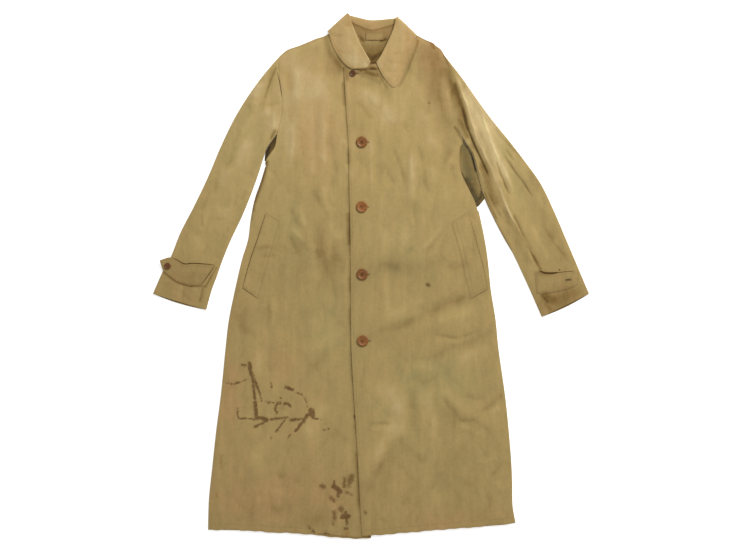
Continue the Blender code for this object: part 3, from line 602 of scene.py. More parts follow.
# middle x, y, radii, turn in degrees, lighter or darker, pinker or more olive
# many of these are painted shade: bands along folds, beside the collar, at the left armpit and under
# the left cuff's strap; a few are painted highlights on the left sleeve, the left skirt, the right
# chest and the right collar lobe; the rest are uneven tone
PATCHES = (
    (310, 95, 34, 48, 0, 0.02, 0.3), (430, 58, 18, 24, 0, -0.28, 0.9),
    (438, 55, 9, 14, -25, -0.16, 0.3), (449, 98, 12, 40, -17, -0.13, 0.1),
    (434, 92, 11, 34, -5, -0.12, 0.2), (545, 240, 20, 34, -25, -0.14, 0.0),
    (383, 442, 8, 28, 29, 0.05, 0.1), (389, 478, 9, 28, 29, -0.04, 0.0),
    (456, 436, 15, 32, -25, -0.05, 0.0), (412, 408, 5, 26, -4, -0.05, 0.0),
    (362, 140, 8, 60, 0, -0.04, 0.1), (356, 127, 8, 8, 0, -0.06, 0.0),
    (360, 160, 9, 6, 0, -0.05, 0.0), (366, 194, 11, 7, 0, -0.06, 0.0),
    (362, 217, 11, 6, 0, -0.05, 0.0), (316, 240, 34, 30, 0, -0.09, -0.1),
    (316, 266, 36, 16, 0, -0.06, -0.1), (420, 264, 55, 9, 0, -0.04, 0.0),
    (425, 308, 62, 9, -16, -0.05, 0.0), (250, 312, 20, 15, 0, -0.08, 0.1),
    (352, 61, 10, 6, 20, 0.22, -0.4), (182, 294, 34, 17, 15, -0.10, 0.3),
    (562, 302, 34, 16, -22, -0.27, 0.3), (270, 500, 80, 34, 0, -0.02, 0.8),
    (455, 520, 60, 12, -5, 0.0, 0.7), (386, 394, 18, 13, 0, 0.06, 0.1),
    (428, 406, 9, 24, -6, 0.05, 0.1), (402, 412, 9, 28, -8, 0.05, 0.1),
    (242, 150, 40, 60, 25, 0.02, -0.5), (505, 170, 26, 60, -25, 0.06, -0.3),
    (534, 182, 12, 18, -30, -0.10, 0.0), (290, 228, 18, 34, 0, 0.0, -0.6),
    (300, 410, 50, 40, 0, 0.02, 0.3), (350, 100, 10, 30, 0, -0.04, 0.2),
    (225, 340, 12, 60, 6, -0.02, 0.3), (450, 440, 60, 60, 0, 0.0, -0.15),
    (320, 135, 28, 60, 0, 0.0, 0.4), (402, 232, 48, 42, 0, 0.0, -0.4),
    (330, 332, 22, 40, 0, 0.0, -0.6), (430, 300, 55, 30, 0, 0.0, -0.3),
    (450, 378, 40, 28, 0, 0.0, -0.6), (400, 400, 36, 36, 0, 0.02, -0.4),
    (280, 362, 20, 22, 0, 0.0, 0.6), (232, 395, 10, 34, 5, 0.0, 0.7),
    (480, 118, 16, 34, -28, 0.06, -0.5), (325, 58, 14, 22, -20, -0.07, 0.1),
    (335, 68, 11, 10, 0, -0.25, 0.0), (405, 66, 10, 24, 12, -0.08, 0.0),
    (300, 80, 12, 18, 0, 0.05, 0.0), (338, 500, 14, 30, 0, -0.05, 0.2),
    (318, 250, 28, 10, 0, -0.04, 0.0), (442, 122, 15, 24, 0, -0.15, 0.0),
    (451, 152, 8, 26, 0, -0.14, 0.0), (268, 250, 26, 6, 0, -0.05, 0.2))
# half width in millimetres, how much darker, then the points of a soft stroke: mostly painted shade
# in deep folds, at the armpits and beside the collar, the front edge and the straps; the stroke
# along the hem is partly soil
SHADE_AND_GRIME = (
    (4.6, 0.66, (266.5, 162), (264.5, 172), (261.5, 182), (258, 192), (254.5, 202)),
    (4.0, 0.50, (254.5, 202), (253, 210)), (3.4, 0.50, (275, 131), (271, 138)),
    (3.4, 0.42, (268, 148), (265.4, 157)), (3.2, 0.30, (253, 208), (252, 219)),
    (4.5, 0.52, (484, 198), (496, 225), (510, 250)), (12, 0.40, (482, 166), (487, 182), (495, 202)),
    (6.0, 0.26, (471, 146), (476, 160), (481, 176)),
    (2.4, 0.50, (472, 152), (474.2, 164), (476, 171)),
    (2.8, 0.66, (468, 129), (471.5, 137), (474.5, 144), (478, 152), (482.5, 161.5), (487.5, 173)),
    (6.0, 0.62, (455, 84), (459, 96), (463.5, 110), (466, 120), (468, 129)),
    (13, 0.34, (449, 72), (453, 88), (458, 104), (462, 118)), (7.0, 0.44, (460, 120), (467, 136)),
    (4.0, 0.30, (445, 56), (451, 72)), (6.0, 0.30, (487, 176), (491, 188)),
    (3.0, 0.36, (485, 193), (490, 204), (496, 218)),
    (3.0, 0.42, (455, 127), (460, 136), (466, 145), (471, 151)),
    (3.4, 0.26, (514, 216), (520.5, 231), (528, 248), (536, 261), (541, 270)),
    (2.2, 0.24, (497, 163), (500.5, 174), (505, 185), (509, 193)),
    (1.9, 0.18, (505, 156), (513, 169), (523, 182), (532, 196)), (11, 0.37, (545, 296), (552, 300)),
    (14, 0.14, (558, 299), (572, 293)), (5.0, 0.46, (542.6, 295.6), (547.6, 301.5)),
    (3.0, 0.25, (172, 303.5), (185, 306.5), (196, 309)),
    (13, 0.07, (372, 335), (395, 328), (423, 317), (440, 307)), (11, 0.06, (440, 307), (472, 296)),
    (16, 0.07, (372, 268), (400, 268), (440, 262)), (14, 0.06, (298, 244), (330, 255), (342, 268)),
    (2.4, 0.34, (216, 268), (211, 277), (206, 286)),
    (2.4, 0.26, (165, 274), (176, 282), (190, 286.5)),
    (2.4, 0.30, (190, 286.5), (203, 286), (206, 287)), (3.0, 0.16, (203, 287), (200, 301)),
    (9.0, 0.34, (326, 36), (330, 52), (342, 68), (352, 72)),
    (3.8, 0.52, (375, 67.5), (379, 74.4), (382.8, 81)), (4.2, 0.36, (382.8, 81), (387.4, 88)),
    (8.0, 0.47, (356, 72), (364, 73), (369, 73)), (8.0, 0.66, (366, 72), (371, 73.6), (377, 75)),
    (5.0, 0.60, (371, 68), (376, 70)), (7.0, 0.36, (346.6, 69), (347.4, 79)),
    (10, 0.36, (363, 75), (371, 77), (379, 82)), (6.0, 0.20, (546, 303), (551, 310)),
    (13, 0.16, (352, 80), (372, 82), (388, 92)),
    (3.0, 0.28, (418.5, 41), (412.5, 57), (406.5, 73), (399.5, 86)),
    (4.5, 0.34, (343.4, 84), (344.4, 104)), (4.5, 0.26, (348, 151), (348.4, 163)),
    (4.6, 0.42, (348.4, 214), (348.8, 244)), (3.6, 0.20, (348, 188), (348.6, 206)),
    (3.6, 0.26, (349.4, 278), (349.4, 291)), (3.6, 0.24, (349.4, 309), (349.6, 324)),
    (3.4, 0.20, (350, 348), (351.6, 380)), (3.6, 0.24, (354.6, 424), (355.4, 434)),
    (3.8, 0.28, (356, 454), (357.6, 478), (358.6, 506)), (18, 0.12, (319, 517), (312, 522)),
    (10, 0.12, (308, 526), (312, 530)),
    (2.4, 0.30, (318, 533.6), (336, 535.6), (350, 537.6), (362, 538), (371, 537.4)),
    (2.6, 0.15, (343.6, 78), (345.4, 118), (347.8, 150), (348.4, 200), (349, 260), (349.6, 330)),
    (2.6, 0.15, (349.6, 330), (352, 388), (354.8, 424), (357.2, 474), (360, 530)),
    (9.0, 0.22, (350, 22), (371, 27), (394, 22)), (2.6, 0.22, (360.5, 36.5), (363.5, 39.6)),
    (3.0, 0.28, (381, 40), (385.5, 38.6)), (1.6, 0.10, (363.5, 39.8), (381, 40.4)),
    (3.2, 0.34, (276, 68), (270, 82), (265, 97)), (6.0, 0.14, (273, 72), (267, 90), (262, 104)),
    (3.6, 0.26, (417.5, 40), (416.5, 47)), (4.0, 0.26, (431, 44), (433.6, 48)),
    (3.0, 0.22, (348, 15), (350, 21)))
# the same for painted highlights on lit ridges of the left sleeve and along the collar's roll and
# tab
PAINTED_HIGHLIGHTS = (
    (12, 0.24, (466, 94), (476, 112), (486, 132), (494, 152), (503, 176)),
    (3.6, 0.18, (483, 118), (488.5, 133), (494, 148), (499, 161)),
    (3.0, 0.16, (500, 188), (508, 210), (516.5, 225), (525.5, 242), (532, 258)),
    (4.0, 0.14, (459, 80), (467, 98), (473, 116), (478, 132), (486, 150)),
    (14, 0.14, (470, 92), (486, 116), (500, 138)), (6.0, 0.26, (366, 66), (377, 66)),
    (2.2, 0.15, (352.8, 27), (357.4, 36.4), (363.2, 47.6), (369, 59)))


def soft_strokes(p, strokes):
    """How strong soft strokes are at plan points."""
    total = np.zeros(len(p))
    for half_width, darker, *path in strokes:
        away, _ = nearest(p, seen(*path))
        total = np.maximum(total, darker * np.exp(-(away / half_width * 1000) ** 2))
    return total


def tone_and_painted_light(p):
    """Lightness and warmth at plan points: tone, with painted shade and painted highlights."""
    x, y = p[..., 0] / PIXEL + ZERO[0], ZERO[1] - p[..., 1] / PIXEL
    light, warm = np.interp(y, *np.array(LIGHTNESS_BY_HEIGHT).T), np.zeros(len(p))
    for middle_x, middle_y, radius_x, radius_y, turn, lighter, pinker in PATCHES:
        turn = math.radians(turn)
        dx, dy = x - middle_x, y - middle_y
        along = (dx * math.cos(turn) + dy * math.sin(turn)) / radius_x
        across = (dy * math.cos(turn) - dx * math.sin(turn)) / radius_y
        share = np.exp(-along ** 2 - across ** 2)
        light, warm = light + lighter * share, warm + pinker * share
    return light - soft_strokes(p, SHADE_AND_GRIME) + soft_strokes(p, PAINTED_HIGHLIGHTS), warm


print("soft patches:", len(PATCHES))

# %% Stains
OUTSIDE = -0.05             # depth far away from any stain
# half width in millimetres, then the points of the stroke
DARK_STAINS = (
    (2.6, (242, 365), (245.5, 365)), (4.8, (249.7, 363.5), (250.1, 369.7), (252.3, 377)),
    (3.4, (252, 375), (253.4, 384), (254.1, 391.7), (254.8, 399)),
    (4.8, (255.2, 402), (255.8, 409), (256, 414.5)),
    (2.8, (253.5, 376), (257.4, 386.5), (260, 394.6)), (2.0, (260, 394.6), (261.8, 401.2)),
    (1.5, (264.7, 401.7), (265.2, 401.8)), (3.2, (268, 401.7), (268.8, 402.4)),
    (2.4, (271.2, 402.2), (274.2, 402.8)),
    (3.2, (280.2, 403), (277.6, 402.8), (275.8, 406.4), (275.4, 410), (276.9, 413)),
    (3.9, (284.6, 403.4), (288, 404), (290.5, 406)), (2.1, (280.8, 397.4), (281, 397.8)),
    (2.2, (271.4, 382.5), (271.4, 387.5)), (4.0, (285.5, 387.2), (289, 388.2), (292.6, 389.8)),
    (2.5, (296.5, 392.6), (301.5, 394.6)), (1.5, (226, 383.2), (231, 383.5)),
    (2.6, (231, 383.5), (231.6, 383.6)), (3.0, (234.8, 383.6), (239, 382.4)),
    (2.3, (237.6, 408.8), (237.9, 418)), (2.3, (237.9, 418.4), (246, 418.5), (254.5, 418.8)),
    (5.0, (257, 417.8), (262, 418), (266.8, 420)), (2.8, (267, 421), (261, 424), (255, 426.8)),
    (3.2, (271.2, 419.6), (276.5, 418.6), (282.4, 418)), (2.6, (282.7, 418.1), (287.4, 417.4)),
    (2.4, (285.4, 418.6), (282.4, 423.2), (275.8, 431.6)), (1.8, (271.6, 437), (271.2, 437.8)),
    (4.0, (290.6, 420), (294.8, 419.6)), (2.8, (294.8, 419.6), (300.6, 418.8)),
    (3.8, (307, 415.4), (302.9, 421.8), (295.8, 431)), (2.2, (290.8, 434.6), (288, 437.4)),
    (6.4, (311, 410.4), (312.4, 412.6), (312.8, 415.6)), (4.2, (311, 413.5), (306.8, 415)),
    (2.6, (312.8, 418.1), (317.4, 418.8)), (1.7, (320.8, 419.2), (321.2, 419.5)),
    (1.7, (322.8, 429.9), (326.2, 430.2)), (2.2, (328.4, 428.2), (328.8, 428.8)),
    (6.2, (333.8, 486.6), (337, 489), (340.4, 491.6)), (3.0, (334.2, 481.4), (334.6, 486)),
    (3.8, (338.2, 491), (338, 496)), (6.6, (342.6, 516.9), (348, 516.2)),
    (4.0, (345.3, 512.4), (345.4, 517)), (3.4, (346, 519), (347.2, 524)),
    (3.2, (344.5, 528.6), (347, 528.8)), (3.0, (312.8, 531), (313.6, 531.8)),
    (2.4, (325, 533.4), (329, 533.8)), (2.6, (369, 536.4), (370, 536.4)),
    (4.4, (427.4, 284.6), (428.6, 285.2)), (2.6, (429, 102.6), (429.2, 103.4)),
    (2.4, (354.2, 415.6), (354.8, 418.6)), (1.1, (301.5, 394.6), (305, 398), (308, 407)),
    (1.0, (240, 382.2), (247, 379.4)), (1.6, (243.6, 366.8), (244.4, 367.4)))
FAINT_STAINS = (
    (5.4, (321.8, 486), (323.6, 486.8)), (7.4, (351.4, 476.8), (350, 481.4)),
    (4.0, (349.2, 482), (349, 486.4)), (4.2, (344.4, 479), (344.2, 486.5)),
    (3.6, (346.6, 492.4), (348, 492.8)), (2.6, (350.6, 494.4), (351.6, 495)),
    (4.6, (330.8, 497.6), (334.2, 500.8)), (6.0, (340.6, 508.4), (341.4, 509.8)),
    (5.2, (334.2, 512.4), (334.3, 518.4)), (3.0, (333.2, 522.6), (333.4, 524)),
    (3.0, (308.6, 526.4), (309.4, 528)), (3.0, (365, 511), (365.6, 513.4)))
RUST = (
    (2.6, (417.6, 41), (417, 46)), (3.0, (432, 44.6), (433.4, 47.4)),
    (4.6, (346.8, 531.6), (347.4, 534.4)), (2.4, (220.8, 456), (221, 463)),
    (2.2, (216.6, 493), (217, 497)), (2.4, (500.8, 395), (501.4, 398)))


def depth_in(p, strokes):
    """How far inside the nearest stroke each point lies; negative outside."""
    deepest = np.full(len(p), OUTSIDE)
    for half_width, *path in strokes:
        away, _ = nearest(p, seen(*path))
        deepest = np.maximum(deepest, half_width / 1000 - away)
    return deepest


print("stain strokes:", len(DARK_STAINS), "dark,", len(FAINT_STAINS), "faint")

# %% [markdown]
# ## Shader sums as Python sums
# A finish mixes many small influences. Wrapping a socket in a class with operators lets a sum of
# influences be written as a sum: each operator adds one Math node. Colours go through Mix and
# Vector Math, because a Math node would turn them grey. All other nodes come from one method.

# %% Finish kit
class Field:
    """A number that varies over a surface."""

    def __init__(self, finish, socket):
        self.finish, self.socket = finish, socket

    def __add__(self, other):
        return self.finish.sum("ADD", self, other)

    def __sub__(self, other):
        return self.finish.sum("SUBTRACT", self, other)

    def __rsub__(self, other):
        return self.finish.sum("SUBTRACT", other, self)

    def __mul__(self, other):
        return self.finish.sum("MULTIPLY", self, other)

    __radd__, __rmul__ = __add__, __mul__

    def step(self, low, high):
        """0 below low, 1 above high, smooth between."""
        return self.finish.node("ShaderNodeMapRange", {"interpolation_type": "SMOOTHSTEP"},
                                {"Value": self, "From Min": low, "From Max": high})

    def wave(self):
        return self.finish.sum("SINE", self, 0.0)


class Finish:
    """A material whose nodes are made by name."""

    def __init__(self, name, **constants):
        self.material = bpy.data.materials.new(name)
        self.material.use_nodes = True
        self.tree = self.material.node_tree
        self.shader = self.tree.nodes["Principled BSDF"]
        for socket, value in constants.items():
            self.shader.inputs[socket.replace("_", " ")].default_value = value

    def node(self, kind, settings={}, sockets={}, output=0):
        made = self.tree.nodes.new(kind)
        for key, value in settings.items():
            setattr(made, key, value)
        for key, value in sockets.items():
            self.feed(made.inputs[key], value)
        return Field(self, made.outputs[output])

    def feed(self, socket, value):
        if isinstance(value, Field):
            self.tree.links.new(value.socket, socket)
        else:
            socket.default_value = value

    def sum(self, operation, a, b):
        return self.node("ShaderNodeMath", {"operation": operation}, {0: a, 1: b})

    def stored(self, name):
        return self.node("ShaderNodeAttribute", {"attribute_name": name}, output="Fac")

    def noise(self, where, scale, detail=3.0, roughness=0.55, distortion=0.0):
        """Noise about zero, from about -0.5 to 0.5."""
        return self.node("ShaderNodeTexNoise", {}, {
            "Vector": where, "Scale": scale, "Detail": detail, "Roughness": roughness,
            "Distortion": distortion}) - 0.5

    def stretch(self, where, x, y, z):
        return self.node("ShaderNodeVectorMath", {"operation": "MULTIPLY"}, {0: where, 1: (x, y, z)})

    def blend(self, share, first, second):
        return self.node("ShaderNodeMix", {"data_type": "RGBA"}, {0: share, 6: first, 7: second}, 2)

    def lit(self, colour, strength):
        return self.node("ShaderNodeVectorMath", {"operation": "SCALE"},
                         {0: colour, "Scale": strength})

    def surface(self, **fields):
        for socket, value in fields.items():
            self.feed(self.shader.inputs[socket.replace("_", " ")], value)


print("a finish starts with", len(Finish("sample").tree.nodes), "nodes")
bpy.data.materials.remove(bpy.data.materials["sample"])

# %% [markdown]
# ## Gabardine
# Gabardine is a tight cotton twill with steep fine ribs. Old cloth has faded unevenly: broad
# clouds, blotches the size of a coin, and streaks along the threads. Troughs get painted shade and
# ridges a painted highlight. The colour is one khaki, turned towards tan or olive by the stored
# warmth and scaled by the sum of all that lightens or darkens it, browner in painted shade and paler
# where lighter; stains come last, with soft ragged edges.

# %% Gabardine finish
KHAKI, TAN, OLIVE = (0.383, 0.270, 0.099, 1), (0.413, 0.262, 0.102, 1), (0.353, 0.275, 0.103, 1)
SHADE_AND_SOIL_BROWN, FADED_AND_HIGHLIT, PALE_AND_HIGHLIT = (0.385, 0.205, 0.030, 1), (0.374, 0.273, 0.126, 1), (0.385, 0.312, 0.150, 1)
STAIN_BROWN, SOAK_BROWN = (0.092, 0.034, 0.002, 1), (0.112, 0.048, 0.008, 1)
RUST_BROWN = (0.28, 0.12, 0.025, 1)
RIB = 0.0006                # from one rib of the twill to the next
gabardine = Finish("gabardine", Specular_IOR_Level=0.25, Sheen_Weight=0.06, Sheen_Roughness=0.6)
place = gabardine.node("ShaderNodeTexCoord", output="Object")
grain = gabardine.node("ShaderNodeUVMap", {"uv_map": "grain"})
clouds = gabardine.noise(place, 8.0)
blotches = gabardine.noise(place, 42.0, 4.0, 0.6)
mottle = gabardine.noise(place, 140.0, 3.0, 0.6)
streaks = gabardine.noise(gabardine.stretch(grain, 95, 6, 1), 1.0, 3.0, 0.6)
warp = gabardine.noise(gabardine.stretch(grain, 420, 14, 1), 1.0, 3.0, 0.6)
weft = gabardine.noise(gabardine.stretch(grain, 30, 700, 1), 1.0, 2.0)
wisps = gabardine.noise(gabardine.stretch(place, 46, 13, 1), 1.0, 4.0, 0.6, 0.9)
specks = gabardine.noise(place, 1100.0, 2.0, 0.7)
# relief darkens troughs as painted shade and lightens ridges as a painted highlight
relief = gabardine.stored("relief")
light = (1.0 + gabardine.stored("light") + 0.13 * clouds + 0.18 * blotches + 0.19 * mottle
         + 0.17 * wisps + 0.09 * streaks + 0.12 * warp + 0.06 * weft + 0.10 * specks
         + 0.22 * relief)
light = gabardine.sum("MAXIMUM", light, 0.10)
warmth = gabardine.stored("warm") + 1.3 * clouds + 1.0 * blotches + 0.7 * wisps
colour = gabardine.blend(warmth.step(0.0, 1.0), KHAKI, TAN)
# cloth darkened by painted shade, and by soil, turns towards a deep brown
colour = gabardine.blend((1.0 - light).step(0.05, 0.85), colour, SHADE_AND_SOIL_BROWN)
colour = gabardine.blend((0.0 - warmth).step(0.0, 1.0), colour, OLIVE)
# cloth lightened by tone and by painted highlights turns paler
colour = gabardine.blend((light - 1.0).step(0.0, 0.35), colour, FADED_AND_HIGHLIT)
colour = gabardine.blend((light - 1.0).step(0.25, 0.70), colour, PALE_AND_HIGHLIT)
colour = gabardine.lit(colour, light)
print("gabardine nodes so far:", len(gabardine.tree.nodes))

# %% Stains and worn edges in the gabardine
ragged = 0.0120 * gabardine.noise(place, 190.0, 4.0, 0.7) + 0.0060 * gabardine.noise(place, 700.0)
uneven = 0.86 + 0.5 * gabardine.noise(place, 120.0, 3.0)
soak = (gabardine.stored("faint") + 1.2 * ragged).step(-0.0032, 0.0040) * uneven
mark = (gabardine.stored("stain") + ragged).step(-0.0016, 0.0024) * uneven
rust = (gabardine.stored("rust") + ragged).step(-0.0025, 0.0025)
soil = (0.0035 - gabardine.stored("edge") + 0.6 * ragged).step(-0.002, 0.0035)
colour = gabardine.blend(0.14 * gabardine.stored("worn") * soil, colour, SOAK_BROWN)
colour = gabardine.blend(0.80 * soak, colour, SOAK_BROWN)
colour = gabardine.blend(0.90 * mark, colour, STAIN_BROWN)
colour = gabardine.blend(0.42 * rust, colour, RUST_BROWN)
threads = gabardine.node("ShaderNodeSeparateXYZ", {}, {0: grain})
across_cloth = Field(gabardine, threads.socket.node.outputs["X"])
along_cloth = Field(gabardine, threads.socket.node.outputs["Y"])
rib = ((0.89 * across_cloth - 0.45 * along_cloth) * (2 * math.pi / RIB)).wave()
crinkle = gabardine.noise(place, 130.0, 4.0, 0.6)
height = 0.014 * rib + 0.10 * warp + 0.05 * weft + 0.30 * crinkle     # millimetres
bump = gabardine.node("ShaderNodeBump", {}, {"Height": height, "Strength": 1.0, "Distance": 0.001})
gabardine.surface(Base_Color=colour, Normal=bump,
                  Roughness=0.84 + 0.16 * blotches - 0.10 * mark)
print("gabardine nodes:", len(gabardine.tree.nodes))

# %% [markdown]
# ## Sewing a piece in
# Each finished wall takes the place of its solid. It is painted with the stored numbers, rides on
# the coat's one body, and its triangles, area and size are printed.

# %% Piece maker
RELIEF_SCALE = 0.0018
Cut = namedtuple("Cut", "width length area rests_on")


def add_piece(name, mesh, node=None):
    """Puts a mesh into the scene; it rides on the coat and may stand for a solid."""
    piece = bpy.data.objects.new(name, mesh)
    bpy.context.collection.objects.link(piece)
    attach(piece, "root")
    if node:
        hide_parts(node)
    return piece


def sew(node, grid, wall, faces_up, creases=TOP_CREASES, lighter=0.0, warmer=0.0, marks=True,
        inside=(), olive=(), every=2, worn=True):
    """Turns a grid of face points into the piece that stands for a solid."""
    mesh = wall_mesh(node + "_cloth", grid, wall, faces_up, every)
    points = np.zeros(len(mesh.vertices) * 3)
    mesh.vertices.foreach_get("co", points)
    p = points.reshape(-1, 3)[:, :2]
    light, warm = tone_and_painted_light(p)
    inner_side = slice(int((~np.isnan(grid[..., 0])).sum()), None)
    light[inner_side] -= soft_strokes(p[inner_side], inside)
    warm[inner_side] -= soft_strokes(p[inner_side], olive)
    clear = np.full(len(p), OUTSIDE)
    put_attribute(mesh, "light", light + lighter)
    put_attribute(mesh, "warm", warm + warmer)
    # the creases' height is stored for painted shade in troughs and a painted highlight on ridges
    relief = crease_height(p, creases) + 0.6 * crumple(p)
    put_attribute(mesh, "relief", np.clip(relief / RELIEF_SCALE, -1.5, 1.1))
    put_attribute(mesh, "worn", np.full(len(p), float(worn)))
    put_attribute(mesh, "stain", depth_in(p, DARK_STAINS) if marks else clear)
    put_attribute(mesh, "faint", depth_in(p, FAINT_STAINS) if marks else clear)
    put_attribute(mesh, "rust", depth_in(p, RUST) if marks else clear)
    mesh.materials.append(gabardine.material)
    piece = add_piece(node + "_cloth", mesh, node)
    area = sum(face.area for face in mesh.polygons) / 2
    tris = sum(len(face.vertices) - 2 for face in mesh.polygons)
    grain = np.zeros(len(mesh.loops) * 2, np.float32)
    mesh.uv_layers["grain"].data.foreach_get("uv", grain)
    across, along = grain.reshape(-1, 2).max(0)
    print(f"{node}: {tris} triangles, {area:.4f} m2, at most {across:.3f} by {along:.3f} m")


# %% [markdown]
# ## Collar lines
# The neck edges of the panels follow the seam of the collar's stand, so the collar's stations come
# first: a point on the roll line, the way to the outer edge, the width, and the stand's height.

# %% Collar stations
Stations = namedtuple("Stations", "roll across width stand turned_in push")
LOBE, TAB = 81, 17


def stations(table, count):
    """Stations evenly along a table of the collar."""
    roll, edge, sizes = (track(table[:, k:k + 2], count) for k in (0, 2, 4))
    width = np.linalg.norm(edge - roll, axis=1)
    return Stations(roll, (edge - roll) / width[:, None], width, sizes[:, 0], sizes[:, 1], 0 * roll)


def neck_seam(line):
    return line.roll + line.across * line.stand[:, None]


def round_off(line, end, radius, bulge):
    """Stations whose outer corner at one end is rounded and whose end edge bows out."""
    order = np.arange(LOBE)[::end]
    edge = (line.roll + line.across * line.width[:, None])[order]
    passed = np.append(0, np.cumsum(np.linalg.norm(np.diff(edge, axis=0), axis=1)))
    short = radius - np.sqrt(radius ** 2 - np.maximum(radius - passed, 0) ** 2)
    beyond = (line.roll[order[0]] - line.roll[order[8]])
    beyond = beyond / np.linalg.norm(beyond) * bulge * ramp(1 - passed / 0.03)[:, None]
    return line._replace(width=line.width - short[np.argsort(order)], push=beyond[np.argsort(order)])


lobe_right = round_off(stations(COLLAR_RIGHT, LOBE), end=1, radius=0.009, bulge=0.007)
lobe_left = round_off(stations(COLLAR_LEFT, LOBE), end=-1, radius=0.012, bulge=0.003)
behind, tab = stations(COLLAR_BACK, LOBE), stations(STAND_TAB, TAB)
neck_right = np.vstack([LAP_CORNER_RIGHT, neck_seam(lobe_right)])
neck_left = np.vstack([LAP_CORNER_LEFT, neck_seam(tab)[:0:-1], neck_seam(lobe_left)[::-1]])
neck_back = neck_seam(behind)
print("neck seam:", round(line_length(neck_back), 3), "m behind")

# %% [markdown]
# ## Fronts and backs
# A panel is spanned between its four cut edges by a Coons patch: the sum of the two ruled
# surfaces, less the bilinear one. The front goes on round the side fold and a little way under the
# body, so its lower rows are longer than the ones beside the armhole. At the shoulder it sinks to
# the back that it is sewn to.

# %% Panels
FINE, COARSE = 0.0026, 0.0045
FOLD_CALM, CREASE_CALM = 0.030, 0.014   # folds and creases die away this far from a sewn edge
SIDE_EDGE = 0.09            # rough length of the edge from side fold to armhole
HEM_FRAY, FRAY_WAVES = 0.0005, (0.0046, 0.0105)
EDGE_ROUND, EDGE_REACH = 0.0004, 0.0012     # the cut edge is a little rounded
LIFT_REACH = 0.012          # how far in the front edge's lift is felt
# picture height, and how far the front edge stands off there, in millimetres
LAP_LIFT = ((72, 0.8), (92, 1.6), (112, 0.3), (122, 0.9), (140, 0.3), (156, 1.3), (168, 0.3),
            (200, 0.8), (232, 2.2), (258, 0.2), (284, 1.5), (300, 0.2), (318, 1.5), (336, 0.7),
            (366, 1.4), (404, 0.5), (416, 1.2), (444, 0.3), (470, 1.5), (494, 1.5), (514, 0.4),
            (534, 0.2))
ARC, UNDER = 6, 6           # columns round the side fold, and beyond it under the body


def patch(hem, head, inner, outer):
    """Grid of plan points between four edges."""
    u = np.linspace(0, 1, len(hem))[None, :, None]
    v = np.linspace(0, 1, len(inner))[:, None, None]
    corners = mix(mix(hem[0], hem[-1], u), mix(head[0], head[-1], u), v)
    return mix(inner[:, None], outer[:, None], u) + mix(hem[None], head[None], v) - corners


def head_line(neck, shoulder, step):
    """Neck and shoulder edge of a panel, and the shoulder alone."""
    along_neck = track(neck, odd_count(line_length(neck), step))
    along_shoulder = track(np.vstack([neck[-1:], shoulder]),
                           odd_count(line_length(shoulder), step))
    return np.vstack([along_neck, along_shoulder[1:]]), along_shoulder


def front_grid(cut, neck, raised, trim):
    """Face points of a front, with the part that folds under along the side."""
    upright = track(cut.outline, odd_count(line_length(cut.outline), FINE))
    inwards = inward(upright, 0.0)
    fold = upright + inwards * TURN
    edge = track(np.vstack([fold[-1:], cut.front_edge]), odd_count(SIDE_EDGE, FINE))[1:]
    armhole = track(cut.armhole, odd_count(line_length(cut.armhole), FINE) + 1)
    head, shoulder = head_line(neck, cut.shoulder, FINE / 1.55)
    outer = np.vstack([fold, edge, armhole])
    hem = track(np.vstack([cut.hem[:-1], fold[:1]]), len(head))
    x, (short, long) = hem[1:-1, 0], FRAY_WAVES
    hem[1:-1, 1] += HEM_FRAY * (np.sin(x / short) + np.sin(x / long + 1))
    p = patch(hem, head, track(cut.lap_edge, len(outer)), outer)
    off_shoulder, off_side = nearest(p, shoulder)[0], nearest(p, upright)[0]
    height = upper(p, ramp(off_shoulder / FOLD_CALM) * ramp(off_side / FOLD_CALM),
                   ramp(off_shoulder / CREASE_CALM) * ramp(off_side / CREASE_CALM)) + CLOTH
    height -= (INNER - REST) * (1 - ramp(off_shoulder / CREASE_CALM))
    off_edge = nearest(p, cut.lap_edge)[0]
    if raised:
        lift = np.interp(ZERO[1] - p[..., 1] / PIXEL, *np.array(LAP_LIFT).T) / 1000
        height += lap(p) + lift * np.exp(-off_edge / LIFT_REACH)
    height -= EDGE_ROUND * np.exp(-off_edge / EDGE_REACH)
    face = np.dstack([p, height])
    sides = len(upright) - trim
    turned = np.full((len(outer), ARC + UNDER, 3), np.nan)
    for k in range(1, ARC + 1):
        turn = math.pi * k / ARC
        turned[:sides, k - 1, :2] = (fold - inwards * TURN * math.sin(turn))[:sides]
        turned[:sides, k - 1, 2] = TURN + TURN * math.cos(turn)
    for k in range(1, UNDER + 1):
        turned[:sides, ARC + k - 1, :2] = (fold + inwards * SIDE_UNDER * k / UNDER)[:sides]
        turned[:sides, ARC + k - 1, 2] = 0.0
    return np.concatenate([face, turned], axis=1), fold[:sides], inwards[:sides]


front_right, fold_right, inwards_right = front_grid(RIGHT, neck_right, raised=False, trim=0)
front_left, fold_left, inwards_left = front_grid(LEFT, neck_left, raised=True, trim=6)
sew("front_right", front_right, CLOTH, True)
sew("front_left", front_left, CLOTH, True)

# %% [markdown]
# ## Backs
# Each half of the back lies face down between the turned-under front and the sleeve, and the two
# meet along a straight seam. What shows is the inner side, at the neck and in the open corners at
# the armpits. The shade there is painted on as soft strokes, tinted olive at the left armpit.

# %% Backs
CORNER_CLEAR = 0.012        # the edge beside the sleeve starts this far above the corner


